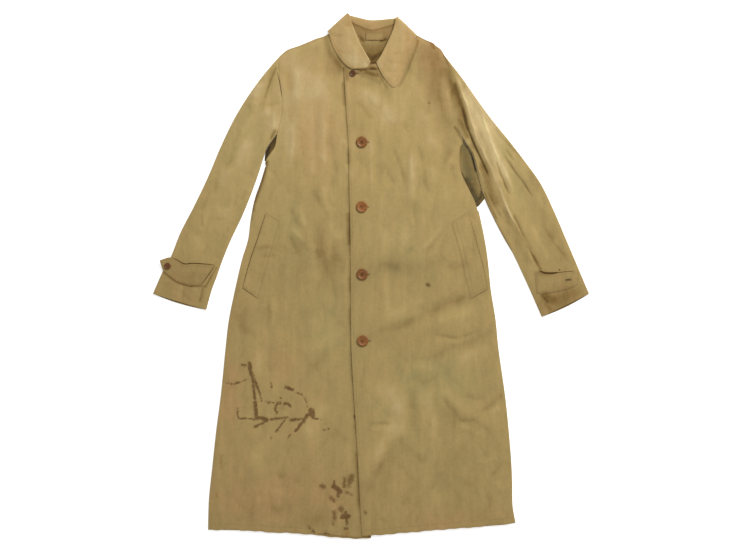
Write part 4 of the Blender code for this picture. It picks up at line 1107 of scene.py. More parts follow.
def back_grid(cut, neck, fold, inwards, sections):
    """Face points of a half back, which looks down at the floor."""
    seam = (fold + inwards * (SIDE_UNDER + SEAM))[::2]
    inner_fold = track(sections[:, 2:], 61)
    beside = inner_fold + inward(inner_fold, 0.0) * SEAM
    corner, rising = cut.back_corner, beside[:0:-1]
    edge = np.vstack([corner, rising[rising[:, 1] > corner[0, 1] + CORNER_CLEAR]])
    outer = np.vstack([track(seam, odd_count(line_length(seam), COARSE)),
                       track(edge, odd_count(line_length(edge), COARSE)),
                       track(cut.armhole, odd_count(line_length(cut.armhole), COARSE))])
    head, _ = head_line(neck, cut.shoulder, COARSE / 1.4)
    hem = track(np.vstack([cut.back_hem[:-1], seam[:1]]), len(head))
    middle = track(np.vstack([CENTRE_BACK, neck[:1]]), len(outer))
    p = patch(hem, head, middle, outer)
    calm = ramp(nearest(p, outer)[0] / FOLD_CALM) * ramp(nearest(p, hem)[0] / FOLD_CALM)
    return np.dstack([p, lower(p) + calm * crease_height(p, BACK_DENTS)])


half = LOBE // 2
back_right = back_grid(RIGHT, neck_back[half::-1], fold_right, inwards_right, SLEEVE_RIGHT)
back_left = back_grid(LEFT, neck_back[half:], fold_left, inwards_left, SLEEVE_LEFT)
# half width in millimetres, how much darker, or more olive in the last, then the points
NECK_SHADE = (
    (26, 0.58, (352, 44), (371, 54), (392, 44)), (12, 0.87, (364, 54), (373, 58), (382, 53)),
    (5, 0.96, (369, 61.5), (373, 62.5), (377, 61.5)), (5, 0.68, (361, 39), (364, 41)),
    (5, 0.74, (381, 41.4), (387, 39.6)))
SIDE_SHADE_RIGHT = ((18, 0.92, (277, 130), (270, 145), (263, 158)),)
SIDE_SHADE_LEFT = (
    (22, 0.60, (464, 149), (469, 168), (477, 205)), (15, 0.81, (467, 180), (473, 192), (478, 203)),
    (5, 0.80, (461, 173), (466, 183), (471, 193), (478, 206)), (6, 0.86, (482, 192), (480, 199)),
    (4, 0.80, (470, 152), (474, 162), (477, 172)))
# olive tint of the painted shade at the left armpit
OLIVE_SHADE_LEFT = ((30, 0.60, (462, 135), (468, 165), (477, 205)),)
sew("back_right", back_right, CLOTH, False, BACK_DENTS, marks=False, every=1,
    inside=NECK_SHADE + SIDE_SHADE_RIGHT)
sew("back_left", back_left, CLOTH, False, BACK_DENTS, marks=False, every=1,
    inside=NECK_SHADE + SIDE_SHADE_LEFT, olive=OLIVE_SHADE_LEFT)

# %% [markdown]
# ## Sleeves
# A sleeve is a flattened tube of two pieces. One seam runs down the forearm, on top and close to
# the inner fold, and the other under the elbow. A point is placed by its distance from the outer
# fold. Near the armhole the rows swing over to the armhole's own curve, so sleeve and body share
# one seam line.

# %% Sleeves
FINE_SLEEVE, SLEEVE_LENGTH = 0.0020, 0.66
HEAD_SHARE = 5 / 19         # share of the sleeve over which rows leave the armhole's curve
SLEEVE_FOLD_CALM, SLEEVE_CREASE_CALM = 0.028, 0.012
DITCH, DITCH_WIDTH = 0.0006, 0.0035     # the seam at the armhole is sunk a little
CUFF_SHARE = 0.015          # share of the sleeve over which its lower cuff edge bows out


def sleeve_grids(cut, sections, outwards):
    """Face points of the top and of the under sleeve."""
    count = odd_count(SLEEVE_LENGTH, FINE_SLEEVE)
    outer, inner = track(sections[:, :2], count), track(sections[:, 2:], count)
    head = track(cut.armhole, 81)[::-1]
    sewn_line = head + inward(head, outwards) * SEAM
    share = np.linspace(0, 1, count)[:, None]
    blend_in = np.maximum(0, 1 - share / HEAD_SHARE) ** 2
    width = np.linalg.norm(inner - outer, axis=1)[:, None]
    along = np.gradient(outer + inner, axis=0)
    along /= np.linalg.norm(along, axis=1)[:, None]
    even = np.linspace(0, 1, len(head))

    def place(inset):
        u = (inset / width)[..., None]
        sewn = np.dstack([np.interp(u[..., 0], even, sewn_line[:, k]) for k in (0, 1)])
        return (mix(outer[:, None], inner[:, None], u)
                + blend_in[..., None] * (sewn - mix(head[0], head[-1], u)))

    def face(inset):
        p = place(inset)
        calm, soft = (ramp(inset / reach) * ramp((width - inset) / reach)
                      for reach in (SLEEVE_FOLD_CALM, SLEEVE_CREASE_CALM))
        ditch = DITCH * np.exp(-(nearest(p, head)[0] / DITCH_WIDTH) ** 2)
        return np.dstack([p, upper(p, calm, soft) + CLOTH - ditch])

    def floor(inset):
        near_cuff = ramp((share - 1 + CUFF_SHARE) / CUFF_SHARE)
        reach = CUFF_REACH * np.sin(math.pi * inset / width) * near_cuff
        p = place(inset) + along[:, None] * reach[..., None]
        return np.dstack([p, np.zeros(p.shape[:2])])

    def turned(inset, tip, rising):
        p = place(inset)
        turn = math.pi * np.arange(1, ARC + 1)[None, :] / ARC
        q = p + (place(tip) - p) * np.sin(turn)[..., None]
        return np.dstack([q, np.broadcast_to(TURN - rising * TURN * np.cos(turn), q.shape[:2])])

    outer_fold, inner_fold = np.full_like(width, TURN), width - TURN
    forearm = inner_fold - SLEEVE_FRONT - SLEEVE_NOTCH * blend_in
    elbow = outer_fold + SLEEVE_BACK
    wide, narrow = np.linspace(0, 1, 81)[None, :], np.linspace(0, 1, 9)[None, :]
    upper_side = np.concatenate([face(mix(forearm, outer_fold, wide)),
                                 turned(outer_fold, 0 * width, -1),
                                 floor(mix(outer_fold, elbow, narrow[:, 1:]))], axis=1)
    sewn_edge = upper_side[:, 0]
    beside = sewn_edge.copy()
    beside[:, :2] += inward(sewn_edge[:, :2], 0.0) * SEAM
    strip = np.linspace(0, 1, 17)[None, 1:-1]
    under_side = np.concatenate([floor(mix(elbow + SEAM, inner_fold, np.linspace(0, 1, 35)[None])),
                                 turned(inner_fold, width, 1),
                                 face(mix(inner_fold, forearm, strip)), beside[:, None]], axis=1)
    return upper_side, under_side


sleeves = {"right": sleeve_grids(RIGHT, SLEEVE_RIGHT, -1.0),
           "left": sleeve_grids(LEFT, SLEEVE_LEFT, 1.0)}
for side, (upper_side, under_side) in sleeves.items():
    sew("sleeve_top_" + side, upper_side, CLOTH, True, marks=False, worn=False)
    sew("sleeve_under_" + side, under_side, CLOTH, False, marks=False, worn=False)

# %% [markdown]
# ## Collar
# The collar is one band round the neck, pressed flat: its front lobes lie on the coat, its back
# part lies under it, and it turns over sharply at the two corners. The fall rolls over and comes a
# little way down inside, where it is sewn to the stand. Faint creases of its own cross the lobes,
# which sink towards the coat beyond the stand.

# %% Collar
CORNER = 8                  # steps round a corner, where the band turns under the coat
# where the corners point on the plan
CORNER_WAY_RIGHT, CORNER_WAY_LEFT = np.array([(-0.64, 0.77, 0), (0.707, 0.707, 0)])
SAG = 0.0017                # the lobes sink towards the coat beyond the stand
DENT_START = 0.012          # distance from the roll line where creases are at full height
STAND_START = round(0.375 * (LOBE - 1)) // 2 * 2    # the stand ends short of the right lobe's tip
STAND_SHADE = ((9, 0.45, (381, 39), (386, 36)),)


def take(line, chosen):
    return Stations(*(values[chosen] for values in line))


def collar_grid(section, start, with_tab):
    """Rows of the band: right lobe, corner, back part, corner, left lobe and the stand's tab."""
    def spread(line):
        reach, depth = section(line)
        bow = np.sin(math.pi * np.clip(reach / line.width[:, None], 0, 1))
        return (line.roll[:, None] + line.across[:, None] * reach[..., None]
                + line.push[:, None] * bow[..., None]), reach, depth

    def above(line):
        p, reach, depth = spread(line)
        past_stand = (reach - line.stand[:, None]) / (line.width - line.stand)[:, None]
        dents = ramp(reach / DENT_START) * crease_height(p, COLLAR_DENTS)
        height = upper(p) + lap(p) + REST + ROLL - depth - SAG * ramp(past_stand) + dents
        return np.dstack([p, height])

    def below(line):
        p, _, depth = spread(line)
        return np.dstack([p, depth])

    def corner(line, away):
        high, low = above(line)[0], below(line)[0]
        radius = (high[:, 2] - low[:, 2])[:, None] / 2
        turn = (math.pi * np.arange(1, CORNER) / CORNER)[:, None, None]
        return (high + low) / 2 + away * radius * np.sin(turn) + (
            np.array((0, 0, 1)) * radius * np.cos(turn))

    ends = [above(take(tab, slice(1, None)))] if with_tab else []
    return np.concatenate([above(take(lobe_right, slice(start, None))),
                           corner(take(lobe_right, slice(-1, None)), CORNER_WAY_RIGHT),
                           below(behind),
                           corner(take(lobe_left, slice(0, 1)), CORNER_WAY_LEFT)[::-1],
                           above(lobe_left)] + ends)


def fall_section(line):
    """Distance from the roll line and depth below the top, from the inside to the outer edge."""
    inside = np.linspace(1, 0, 7)[None, :-1]
    turn = math.pi * np.arange(9)[None, :] / 8
    outside = np.linspace(0, 1, 31)[None, 1:]
    columns = line.roll[:, :1] * 0 + 1
    reach = [line.turned_in[:, None] * inside, -ROLL / 2 * np.sin(turn) * columns,
             line.width[:, None] * outside]
    depth = [ROLL + 0 * reach[0], (ROLL / 2 + ROLL / 2 * np.cos(turn)) * columns, 0 * reach[2]]
    return np.concatenate(reach, 1), np.concatenate(depth, 1)


def stand_section(line):
    """The same two for the stand, which lies flat below the fall."""
    share = np.linspace(0, 1, 13)[None, :]
    reach = mix((line.turned_in + SEAM)[:, None], (line.stand - SEAM)[:, None], share)
    return reach, np.full(reach.shape, ROLL)


fall = collar_grid(fall_section, 0, False)
stand = collar_grid(stand_section, STAND_START, True)
fall, stand = (grid[:len(grid) - 1 + len(grid) % 2] for grid in (fall, stand))
sew("collar_fall", fall, COLLAR_CLOTH, False, COLLAR_DENTS, lighter=0.02, warmer=0.6, marks=False)
# the stand lies inside the neck and is painted darker as shade
sew("collar_stand", stand, COLLAR_CLOTH, False, lighter=-0.40, warmer=0.9, marks=False,
    inside=STAND_SHADE)

# %% [markdown]
# ## Welts, straps and the neck loop
# What is sewn onto a panel is made from the panel's own face, moved out. A welt is stitched down
# on three sides and its pocket edge stands a little open. A strap is sewn in at one end and lies
# free, so its long edges lift.

# %% Strips on the panels
ACROSS_WELT, ALONG_WELT = 17, 73
ACROSS_STRAP, ALONG_STRAP_RIGHT, ALONG_STRAP_LEFT = 21, 57, 49
RIM_ROUND, RIM_STEPS = 0.0004, 0.6      # a strip's rim is rounded down, over so many grid steps
PRESSED_WELT, PRESSED_STRAP = 0.0003, 0.0007    # where the iron has pressed the edge thin


def strip_grid(edges, thickness, across, along, lift):
    """Face points of a strip; lift gives how far it stands off at its own two shares."""
    thickness = np.broadcast_to(thickness, (along, across))
    first, second = (track(edge, along) for edge in edges)
    u, v = np.linspace(0, 1, across)[None, :], np.linspace(0, 1, along)[:, None]
    p = mix(first[:, None], second[:, None], u[..., None])
    rim = np.minimum(np.minimum(u, 1 - u) * across, np.minimum(v, 1 - v) * along)
    rounded = RIM_ROUND * np.exp(-rim / RIM_STEPS)
    return np.dstack([p, top(p) + np.minimum(REST, thickness) + thickness + lift(u, v)
                      - np.minimum(rounded, 0.5 * thickness)])


def open_pocket(u, v):
    """How far a welt's free edge stands off."""
    return 0.0010 * (1 - u) ** 2 * np.sin(math.pi * v) ** 0.6


def pressed_wall(across):
    """Thickness of a welt: pressed thin towards its sewn edge."""
    return mix(WELT_CLOTH, PRESSED_WELT, ramp(np.linspace(0, 1, across) / 0.9))[None, :]


def strap_wall(across, along):
    """Thickness of a strap: pressed flat towards its lower edge and its sewn end."""
    u, v = np.linspace(0, 1, across)[None, :], np.linspace(0, 1, along)[:, None]
    return mix(STRAP_CLOTH, PRESSED_STRAP, ramp((u - 0.3) / 0.7)) * mix(0.35, 1.0, ramp(v / 0.12))


def loose_strap_right(u, v):
    return 0.0012 * ramp(v / 0.15) * (1 - u) ** 2 + 0.0002 * u ** 2


def loose_strap_left(u, v):
    return 0.0026 * (1 - u) ** 2 * ramp(v / 0.1) * ramp((0.75 - v) / 0.4) + 0.0003 * u ** 2


welt_wall = pressed_wall(ACROSS_WELT)
welt_right, welt_left = (strip_grid(edges, welt_wall, ACROSS_WELT, ALONG_WELT, open_pocket)
                         for edges in (WELT_RIGHT, WELT_LEFT))
wall_right, wall_left = (strap_wall(ACROSS_STRAP, along)
                         for along in (ALONG_STRAP_RIGHT, ALONG_STRAP_LEFT))
strap_right = strip_grid(STRAP_RIGHT, wall_right, ACROSS_STRAP, ALONG_STRAP_RIGHT,
                         loose_strap_right)
strap_left = strip_grid(STRAP_LEFT, wall_left, ACROSS_STRAP, ALONG_STRAP_LEFT, loose_strap_left)
sew("pocket_welt_right", welt_right, welt_wall, True, marks=False)
sew("pocket_welt_left", welt_left, welt_wall, True, marks=False)
sew("cuff_strap_right", strap_right, wall_right, True, lighter=-0.10, warmer=0.2, marks=False)
sew("cuff_strap_left", strap_left, wall_left, True, lighter=-0.02, warmer=0.1, marks=False)
LOOP_ACROSS, LOOP_ALONG = plan((543, 559), (-12, 29))
LOOP_ARCH, LOOP_CLEAR = 0.0006, 0.0002
x, y = np.meshgrid(np.linspace(*LOOP_ALONG, 21), np.linspace(*LOOP_ACROSS, 9), indexing="ij")
arch = LOOP_ARCH * np.sin(math.pi * np.linspace(0, 1, 21))[:, None]
loop = np.dstack([x, y, ROLL + LOOP_CLEAR + LOOP_CLOTH + arch + 0 * y])
# the loop lies inside the neck and is painted darker as shade
sew("neck_loop", loop, LOOP_CLOTH, True, lighter=-0.30, warmer=0.4, marks=False)

# %% [markdown]
# ## Buttons
# The buttons are turned discs of a reddish-brown plastic with a rounded rim, a dished middle and
# four holes. A profile is turned into rings, the holes are cut by a Boolean, and the result is
# copied to each place. Thread bridges the holes in two bars.

# %% Button finish and mesh
shell = Finish("button_brown", Specular_IOR_Level=0.3, Coat_Weight=0.07, Coat_Roughness=0.2)
spot = shell.node("ShaderNodeTexCoord", output="Object")
swirl = shell.noise(shell.stretch(spot, 1, 1.8, 1), 190.0, 5.0, 0.65)
rubbed = shell.noise(spot, 1500.0, 2.0)
BUTTON_DARK, BUTTON_PALE = (0.140, 0.048, 0.008, 1), (0.345, 0.140, 0.036, 1)
tint = shell.blend((swirl + 0.35 * rubbed).step(-0.22, 0.26), BUTTON_DARK, BUTTON_PALE)
shell.surface(Base_Color=shell.lit(tint, shell.stored("shade")), Roughness=0.38 + 0.3 * rubbed)
# radius and height of the rings, from the underside over the rim, as shares of the diameter
PROFILE = ((0.40, 0.0), (0.465, 0.018), (0.492, 0.045), (0.50, 0.075), (0.49, 0.105),
           (0.462, 0.126), (0.42, 0.134), (0.38, 0.130), (0.345, 0.116), (0.31, 0.101),
           (0.26, 0.094), (0.16, 0.091))
SIDES = 56
HOLE_RADIUS, HOLE_AT = 0.05, 0.075      # shares of the diameter


def ring_faces(rings, sides):
    """Faces of a closed body made of equal rings of points."""
    k = np.arange(sides)
    faces = [k[::-1].tolist(), (k + (rings - 1) * sides).tolist()]
    for low in range(0, (rings - 1) * sides, sides):
        high = low + sides
        faces += np.stack([low + k, low + (k + 1) % sides, high + (k + 1) % sides, high + k],
                          1).tolist()
    return faces


def button_mesh(diameter):
    """A turned disc with four drilled holes."""
    turn = 2 * math.pi * np.arange(SIDES) / SIDES
    rings = np.vstack([np.stack([r * np.cos(turn), r * np.sin(turn), h + 0 * turn], 1)
                       for r, h in PROFILE]) * diameter
    mesh = bpy.data.meshes.new("blank")
    mesh.from_pydata(rings, [], ring_faces(len(PROFILE), SIDES))
    blank = bpy.data.objects.new("blank", mesh)
    bpy.context.collection.objects.link(blank)
    drills = []
    for x, y in ((1, 1), (-1, 1), (-1, -1), (1, -1)):
        bpy.ops.mesh.primitive_cylinder_add(
            vertices=20, radius=HOLE_RADIUS * diameter, depth=diameter,
            location=(x * HOLE_AT * diameter, y * HOLE_AT * diameter, 0))
        drills.append(bpy.context.object)
        cut = blank.modifiers.new("hole", "BOOLEAN")
        cut.object = drills[-1]
    graph = bpy.context.evaluated_depsgraph_get()
    result = bpy.data.meshes.new_from_object(blank.evaluated_get(graph))
    for item in drills + [blank]:
        bpy.data.objects.remove(item)
    result.shade_smooth()
    result.set_sharp_from_angle(angle=math.radians(38))
    return result


LARGE, SMALL = 0.026, 0.015
blanks = {size: button_mesh(size) for size in (LARGE, SMALL)}
print("faces of a button:", len(blanks[LARGE].polygons))

# %% Buttons in place
# shade scales a button's colour: button_1's is painted shade under the collar's tip, the cuff button
# is darker, and the others differ a little in tone
Button = namedtuple("Button", "node x y diameter turn shade")
BUTTONS = (
    Button("button_1", -42, 466, SMALL, 20, 0.42), Button("button_2", -21, 308, LARGE, 12, 0.95),
    Button("button_3", -21, 159, LARGE, 38, 1.15), Button("button_4", -20, 4, LARGE, -8, 0.85),
    Button("button_5", -19, -149, LARGE, 25, 1.05), Button("cuff_button", -468, 23, SMALL, 5, 0.6))
button_places = []
for button in BUTTONS:
    centre = plan((button.x, button.y))[0]
    turn = np.linspace(0, 2 * math.pi, 12)
    around = centre + np.stack([np.cos(turn), np.sin(turn)], 1) * button.diameter / 2
    base = top(around).max() + REST
    base += STRAP_CLOTH + REST if button.node == "cuff_button" else 0.0
    mesh = blanks[button.diameter].copy()
    turned = Matrix.Rotation(math.radians(button.turn), 4, "Z")
    matrix = Matrix.Translation((*centre, base)) @ turned
    mesh.transform(matrix)
    put_attribute(mesh, "shade", np.full(len(mesh.vertices), button.shade))
    mesh.materials.clear()
    mesh.materials.append(shell.material)
    add_piece(button.node + "_turned", mesh, button.node)
    button_places.append((button, matrix))
print("buttons:", len(button_places))

# %% [markdown]
# ## Button thread
# Each button is held by two bars of doubled thread. A bar comes up through one hole, over the
# middle and down through the next. It is swept as a small tube along its path. The dark button
# thread and the paler sewing thread are two colours of one finish.

# %% Thread
def thread_finish(name, dark, pale):
    made = Finish(name, Specular_IOR_Level=0.2, Sheen_Weight=0.1)
    fibre = made.noise(made.node("ShaderNodeTexCoord", output="Object"), 2400.0, 3.0)
    made.surface(Base_Color=made.blend(fibre.step(-0.3, 0.3), dark, pale),
                 Roughness=0.8 + 0.2 * fibre)
    return made


def tube(path, radius, sides=8):
    """Points and faces of a closed tube along a path."""
    along = np.gradient(path, axis=0)
    along /= np.linalg.norm(along, axis=1)[:, None]
    first = np.cross(along, (0.0, 1.0, 0.13))
    first /= np.linalg.norm(first, axis=1)[:, None]
    second = np.cross(along, first)
    turn = 2 * math.pi * np.arange(sides) / sides
    cosine, sine = np.cos(turn)[None, :, None], np.sin(turn)[None, :, None]
    ring = cosine * first[:, None] + sine * second[:, None]
    return (path[:, None] + radius * ring).reshape(-1, 3), ring_faces(len(path), sides)


def mesh_piece(name, parts, finish):
    """One piece from several sets of points and faces."""
    points, faces = [], []
    for some_points, some_faces in parts:
        faces += [[k + len(points) for k in face] for face in some_faces]
        points += some_points.tolist()
    mesh = bpy.data.meshes.new(name)
    mesh.from_pydata(points, [], faces)
    mesh.shade_smooth()
    mesh.set_sharp_from_angle(angle=math.radians(50))
    mesh.materials.append(finish.material)
    add_piece(name, mesh)


button_thread = thread_finish("button_thread", (0.075, 0.026, 0.010, 1), (0.17, 0.062, 0.022, 1))
# along the bar in hole distances, and height as a share of the diameter
BAR = ((-1, 0.0), (-1, 0.075), (-0.5, 0.112), (0.5, 0.112), (1, 0.075), (1, 0.0))
BAR_RADIUS = 0.026          # share of the diameter
bars = []
for button, matrix in button_places:
    d, at = button.diameter, HOLE_AT * button.diameter
    for side in (-1, 1):
        path = track(np.array([(along * at, side * at, up * d) for along, up in BAR]), 17)
        path = np.array([matrix @ Matrix.Translation(point).translation for point in path])
        bars.append(tube(path, BAR_RADIUS * d))
mesh_piece("button_thread", bars, button_thread)
print("thread bars:", len(bars))

# %% [markdown]
# ## Stitches
# Sewing is a small thing repeated along a path, which is what Geometry Nodes are for. The path is
# a line of points on the face of a piece. The tree steps it off at the stitch pitch, puts a short
# rounded stitch at each step along the path, or across it for a buttonhole, and varies each one a
# little. The result is turned into a plain mesh.

# %% Stitch tree
def stitch_tree(material):
    tree = bpy.data.node_groups.new("stitch_row", "GeometryNodeTree")
    tree.is_modifier = True
    tree.interface.new_socket("Path", in_out="INPUT", socket_type="NodeSocketGeometry")
    for name in ("Pitch", "Length", "Width", "Turn"):
        tree.interface.new_socket(name, in_out="INPUT", socket_type="NodeSocketFloat")
    tree.interface.new_socket("Stitches", in_out="OUTPUT", socket_type="NodeSocketGeometry")
    new, link = tree.nodes.new, tree.links.new
    given, result = new("NodeGroupInput"), new("NodeGroupOutput")
    curve, even = new("GeometryNodeMeshToCurve"), new("GeometryNodeResampleCurve")
    even.mode = "LENGTH"
    ball, shape = new("GeometryNodeMeshUVSphere"), new("GeometryNodeTransform")
    ball.inputs["Segments"].default_value, ball.inputs["Rings"].default_value = 6, 4
    size = new("ShaderNodeCombineXYZ")
    ball.inputs["Radius"].default_value = 0.5
    tangent, align = new("GeometryNodeInputTangent"), new("FunctionNodeAlignRotationToVector")
    align.axis = "X"
    spots, turn = new("GeometryNodeInstanceOnPoints"), new("GeometryNodeRotateInstances")
    angle, total = new("ShaderNodeCombineXYZ"), new("ShaderNodeMath")
    jitter, vary = new("FunctionNodeRandomValue"), new("FunctionNodeRandomValue")
    for node, low, high, seed in ((jitter, -0.09, 0.09, 3), (vary, 0.85, 1.12, 8)):
        node.data_type = "FLOAT"
        node.inputs[2].default_value, node.inputs[3].default_value = low, high
        node.inputs["Seed"].default_value = seed
    plain, paint = new("GeometryNodeRealizeInstances"), new("GeometryNodeSetMaterial")
    paint.inputs["Material"].default_value = material
    link(given.outputs["Path"], curve.inputs["Mesh"])
    link(curve.outputs["Curve"], even.inputs["Curve"])
    link(given.outputs["Pitch"], even.inputs["Length"])
    link(ball.outputs["Mesh"], shape.inputs["Geometry"])
    for axis, name in (("X", "Length"), ("Y", "Width"), ("Z", "Width")):
        link(given.outputs[name], size.inputs[axis])
    link(size.outputs["Vector"], shape.inputs["Scale"])
    link(even.outputs["Curve"], spots.inputs["Points"])
    link(shape.outputs["Geometry"], spots.inputs["Instance"])
    link(tangent.outputs["Tangent"], align.inputs["Vector"])
    link(align.outputs["Rotation"], spots.inputs["Rotation"])
    link(vary.outputs[1], spots.inputs["Scale"])
    link(given.outputs["Turn"], total.inputs[0])
    link(jitter.outputs[1], total.inputs[1])
    link(total.outputs["Value"], angle.inputs["Z"])
    link(spots.outputs["Instances"], turn.inputs["Instances"])
    link(angle.outputs["Vector"], turn.inputs["Rotation"])
    link(turn.outputs["Instances"], plain.inputs["Geometry"])
    link(plain.outputs["Geometry"], paint.inputs["Geometry"])
    link(paint.outputs["Geometry"], result.inputs["Stitches"])
    return tree


thread = thread_finish("thread", (0.20, 0.125, 0.05, 1), (0.36, 0.25, 0.115, 1))
sewing = stitch_tree(thread.material)
print("stitch tree:", len(sewing.nodes), "nodes")

# %% [markdown]
# ## Where the rows run
# A row of stitches takes its points from a row or column of a piece's own grid, a few steps in from
# the cut edge, so it follows every crease. It is lifted just clear of the cloth.

# %% Rows of stitches
def stitch(name, paths, pitch, length, width, turn=0.0):
    """A piece of stitches along paths of points, each path a row."""
    mesh = bpy.data.meshes.new(name)
    edges, start = [], 0
    for path in paths:
        edges += [(start + k, start + k + 1) for k in range(len(path) - 1)]
        start += len(path)
    mesh.from_pydata(np.vstack(paths), edges, [])
    guide = bpy.data.objects.new(name + "_guide", mesh)
    bpy.context.collection.objects.link(guide)
    row = guide.modifiers.new("stitches", "NODES")
    row.node_group = sewing
    sockets = {item.name: item.identifier for item in sewing.interface.items_tree
               if item.in_out == "INPUT"}
    for key, value in (("Pitch", pitch), ("Length", length), ("Width", width), ("Turn", turn)):
        row[sockets[key]] = value
    graph = bpy.context.evaluated_depsgraph_get()
    made = bpy.data.meshes.new_from_object(guide.evaluated_get(graph))
    bpy.data.objects.remove(guide)
    made.name = name
    made.shade_smooth()
    add_piece(name, made)
    print(f"{name}: {len(made.polygons)} faces")


def raised(path, lift=0.00012):
    return path + (0, 0, lift)


EDGE_STITCH = dict(pitch=0.0029, length=0.0023, width=0.00055)
rows = [front_left[4:, 3], front_left[5, 3:-ARC - UNDER - 4], front_right[5, 30:-ARC - UNDER - 4],
        fall[3:LOBE - 1, -4], fall[-LOBE + 1:-3, -4], fall[3, 15:-4], fall[-4, 15:-4]]
for welt in (welt_right, welt_left):
    rows += [welt[2, 1:-2], welt[-3, 1:-2], welt[2:-2, -2], welt[2:-2, -5]]
for strap in (strap_right, strap_left):
    rows += [strap[2:-2, 2], strap[2:-2, -3], strap[-3, 2:-2], strap[2, 2:-2]]
rows += [loop[1, 1:-1], loop[-2, 1:-1]]
stitch("topstitching", [raised(row) for row in rows], **EDGE_STITCH)

# %% [markdown]
# ## Buttonholes
# A worked buttonhole is a slit whose two lips are covered with close stitches square to the slit.
# The slit is a slim dark lens, painted shade for the opening, and the stitches follow an oval round
# it.

# %% Buttonholes
# dark finish of the lenses that stand for the shade in slits and gaps
gap = Finish("slit_shadow", Specular_IOR_Level=0.1)
flecks = gap.noise(gap.node("ShaderNodeTexCoord", output="Object"), 900.0, 3.0)
gap.surface(Base_Color=gap.blend(flecks.step(-0.3, 0.3), (0.065, 0.036, 0.010, 1),
                                 (0.120, 0.070, 0.020, 1)), Roughness=0.9 + 0.1 * flecks)
Hole = namedtuple("Hole", "start end gape strap")
GAPE, LENS_HEIGHT = 0.0005, 0.00025
STRAP_OFF = 0.0005          # how far the left strap stands off at its buttonhole
OVAL_REACH, OVAL_MARGIN = 0.53, 0.0011      # share of the slit's length, and distance from its lip
# picture point of the button, and how far to the right its hole reaches
AT_BUTTONS = ((353, 73.4, 5.6), (362, 142, 7.0), (362, 207, 7.0), (362.3, 274.4, 7.4),
              (362.7, 340.7, 8.4))
HOLES = [Hole(*seen((x - 1.5, y), (x + reach, y)), GAPE, False) for x, y, reach in AT_BUTTONS]
HOLES.append(Hole(*seen((565.4, 279.9), (571.6, 279.2)), GAPE, True))


def on_face(p, strap):
    """Points on the face of the left front, or on the left strap."""
    lift = STRAP_CLOTH + REST + STRAP_OFF if strap else 0.0
    return np.column_stack([p, top(p) + lift])


def slit(path, gape, strap=False, blunt=0.7):
    """Points and faces of a slim dark lens on the cloth along a path."""
    line = track(path, odd_count(line_length(path), 0.002))
    n, along = len(line), np.gradient(line, axis=0)
    square = np.stack([-along[:, 1], along[:, 0]], 1) / np.linalg.norm(along, axis=1)[:, None]
    bow = gape * np.sin(math.pi * np.linspace(0, 1, n))[:, None] ** blunt
    lips = np.vstack([line + square * bow, (line - square * bow)[1:-1]])
    low = on_face(lips, strap)
    left, right, m = list(range(n)), [0, *range(n, 2 * n - 2), n - 1], len(lips)
    ring = left + right[-2:0:-1]
    faces = [[p, m + p, m + q, q] for p, q in zip(ring, ring[1:] + ring[:1])]
    for k in range(n - 1):
        face = list(dict.fromkeys((right[k], right[k + 1], left[k + 1], left[k])))
        faces += [face[::-1], [m + corner for corner in face]]
    return np.vstack([low, low + (0, 0, LENS_HEIGHT)]), faces


lenses, ovals = [], []
for hole in HOLES:
    along = hole.end - hole.start
    square = np.array((-along[1], along[0])) / np.linalg.norm(along)
    lenses.append(slit(np.array([hole.start, hole.end]), hole.gape, hole.strap))
    turn = np.linspace(0, 2 * math.pi, 41)[:, None]
    oval = (hole.start + hole.end) / 2 + along * OVAL_REACH * np.cos(turn) + (
        square * (hole.gape + OVAL_MARGIN) * np.sin(turn))
    ovals.append(raised(on_face(oval, hole.strap), 0.0002))
mesh_piece("buttonhole_slits", lenses, gap)
stitch("buttonhole_stitches", ovals, pitch=0.0007, length=0.0021, width=0.0006, turn=math.pi / 2)

# %% [markdown]
# ## Pocket mouths and gaps
# Where a welt or a strap stands off the coat, one looks into a dark gap. On the coat such a gap is
# only air and shade; here a slim dark lens lies in it, half under the edge, which stays dark in
# any light. The same dark lens lies as painted shade along the sunk seam of the right sleeve's head.

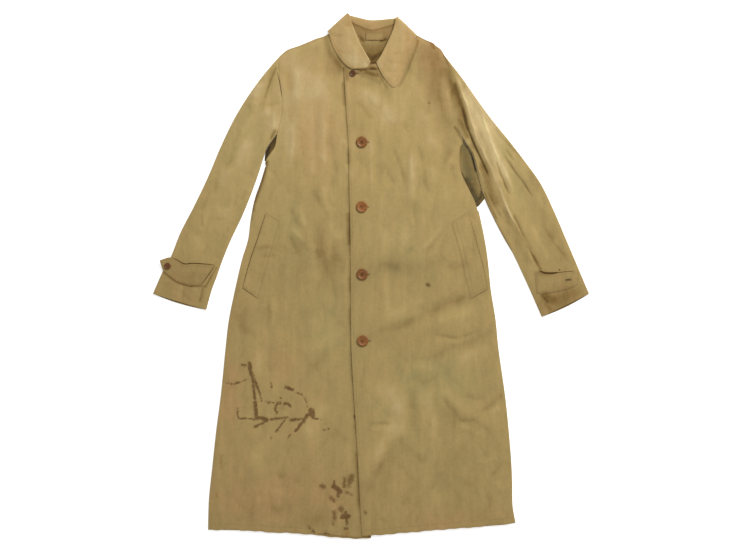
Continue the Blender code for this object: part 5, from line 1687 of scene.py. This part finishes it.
# %% Pocket mouths and gaps
# path, and half width of the gap in millimetres
GAPS = (
    (WELT_RIGHT[0][::-1], 1.3), (np.array([WELT_RIGHT[0][-1], WELT_RIGHT[1][-1]]), 0.9),
    (np.array([WELT_RIGHT[0][0], WELT_RIGHT[1][0]]), 0.45),
    (WELT_LEFT[0][::-1], 0.8), (np.array([WELT_LEFT[0][-1], WELT_LEFT[1][-1]]), 0.8),
    (np.array([WELT_LEFT[0][0], WELT_LEFT[1][0]]), 0.35),
    (STRAP_RIGHT[0][:5], 2.4), (np.array([STRAP_RIGHT[0][0], STRAP_RIGHT[1][0]]), 1.8),
    (seen((539, 270.6), (545, 272.8), (551, 273.2), (559, 272.4)), 2.3),
    (seen((554, 272.8), (563, 272), (574, 271)), 0.7),
    (seen((558.4, 269.2), (560.6, 270.6)), 1.3), (seen((277, 72), (279.6, 82), (282, 97)), 0.5))
lenses = [slit(path, gape / 1000, blunt=0.4) for path, gape in GAPS]
mesh_piece("dark_gaps", lenses, gap)
print("gaps:", len(GAPS))

# %% [markdown]
# ## Floor and light
# A plain white floor under a bright even sky gives the soft light of the picture. One large lamp
# from the upper right makes the folds readable and throws soft shadows beside the collar, the front
# edge and the straps, which painted shade strokes deepen.

# %% Floor and lamps
FLOOR_REACH, FLOOR_LEVEL = 6.0, -0.0004
corners = [(-1, -1), (1, -1), (1, 1), (-1, 1)]
mesh = bpy.data.meshes.new("floor")
mesh.from_pydata([(x * FLOOR_REACH, y * FLOOR_REACH, FLOOR_LEVEL) for x, y in corners], [],
                 [(0, 1, 2, 3)])
paper = Finish("white_paper", Roughness=0.95, Specular_IOR_Level=0.1, Emission_Strength=0.55)
tooth = paper.noise(paper.node("ShaderNodeTexCoord", output="Object"), 300.0, 2.0)
white = paper.blend(tooth.step(-0.5, 0.5), (0.91, 0.91, 0.91, 1), (0.94, 0.94, 0.94, 1))
paper.surface(Base_Color=white, Emission_Color=white)
mesh.materials.append(paper.material)
floor = bpy.data.objects.new("floor", mesh)
bpy.context.collection.objects.link(floor)
sky = bpy.data.worlds.new("sky")
sky.use_nodes = True
sky.node_tree.nodes["Background"].inputs["Color"].default_value = (1.0, 1.0, 1.0, 1)
sky.node_tree.nodes["Background"].inputs["Strength"].default_value = 0.50
scene.world = sky
lamp = bpy.data.objects.new("lamp", bpy.data.lights.new("lamp", "AREA"))
lamp.data.shape = "DISK"
lamp.data.size = 1.9
lamp.data.energy = 150.0
lamp.location = (1.9, 2.6, 2.9)
lamp.rotation_euler = (-lamp.location).to_track_quat("-Z", "Y").to_euler()
bpy.context.collection.objects.link(lamp)
print("lamp is", round(lamp.location.length, 2), "m away")

# %% [markdown]
# ## Finish
# The view layer is brought up to date.

# %% Finish
bpy.context.view_layer.update()
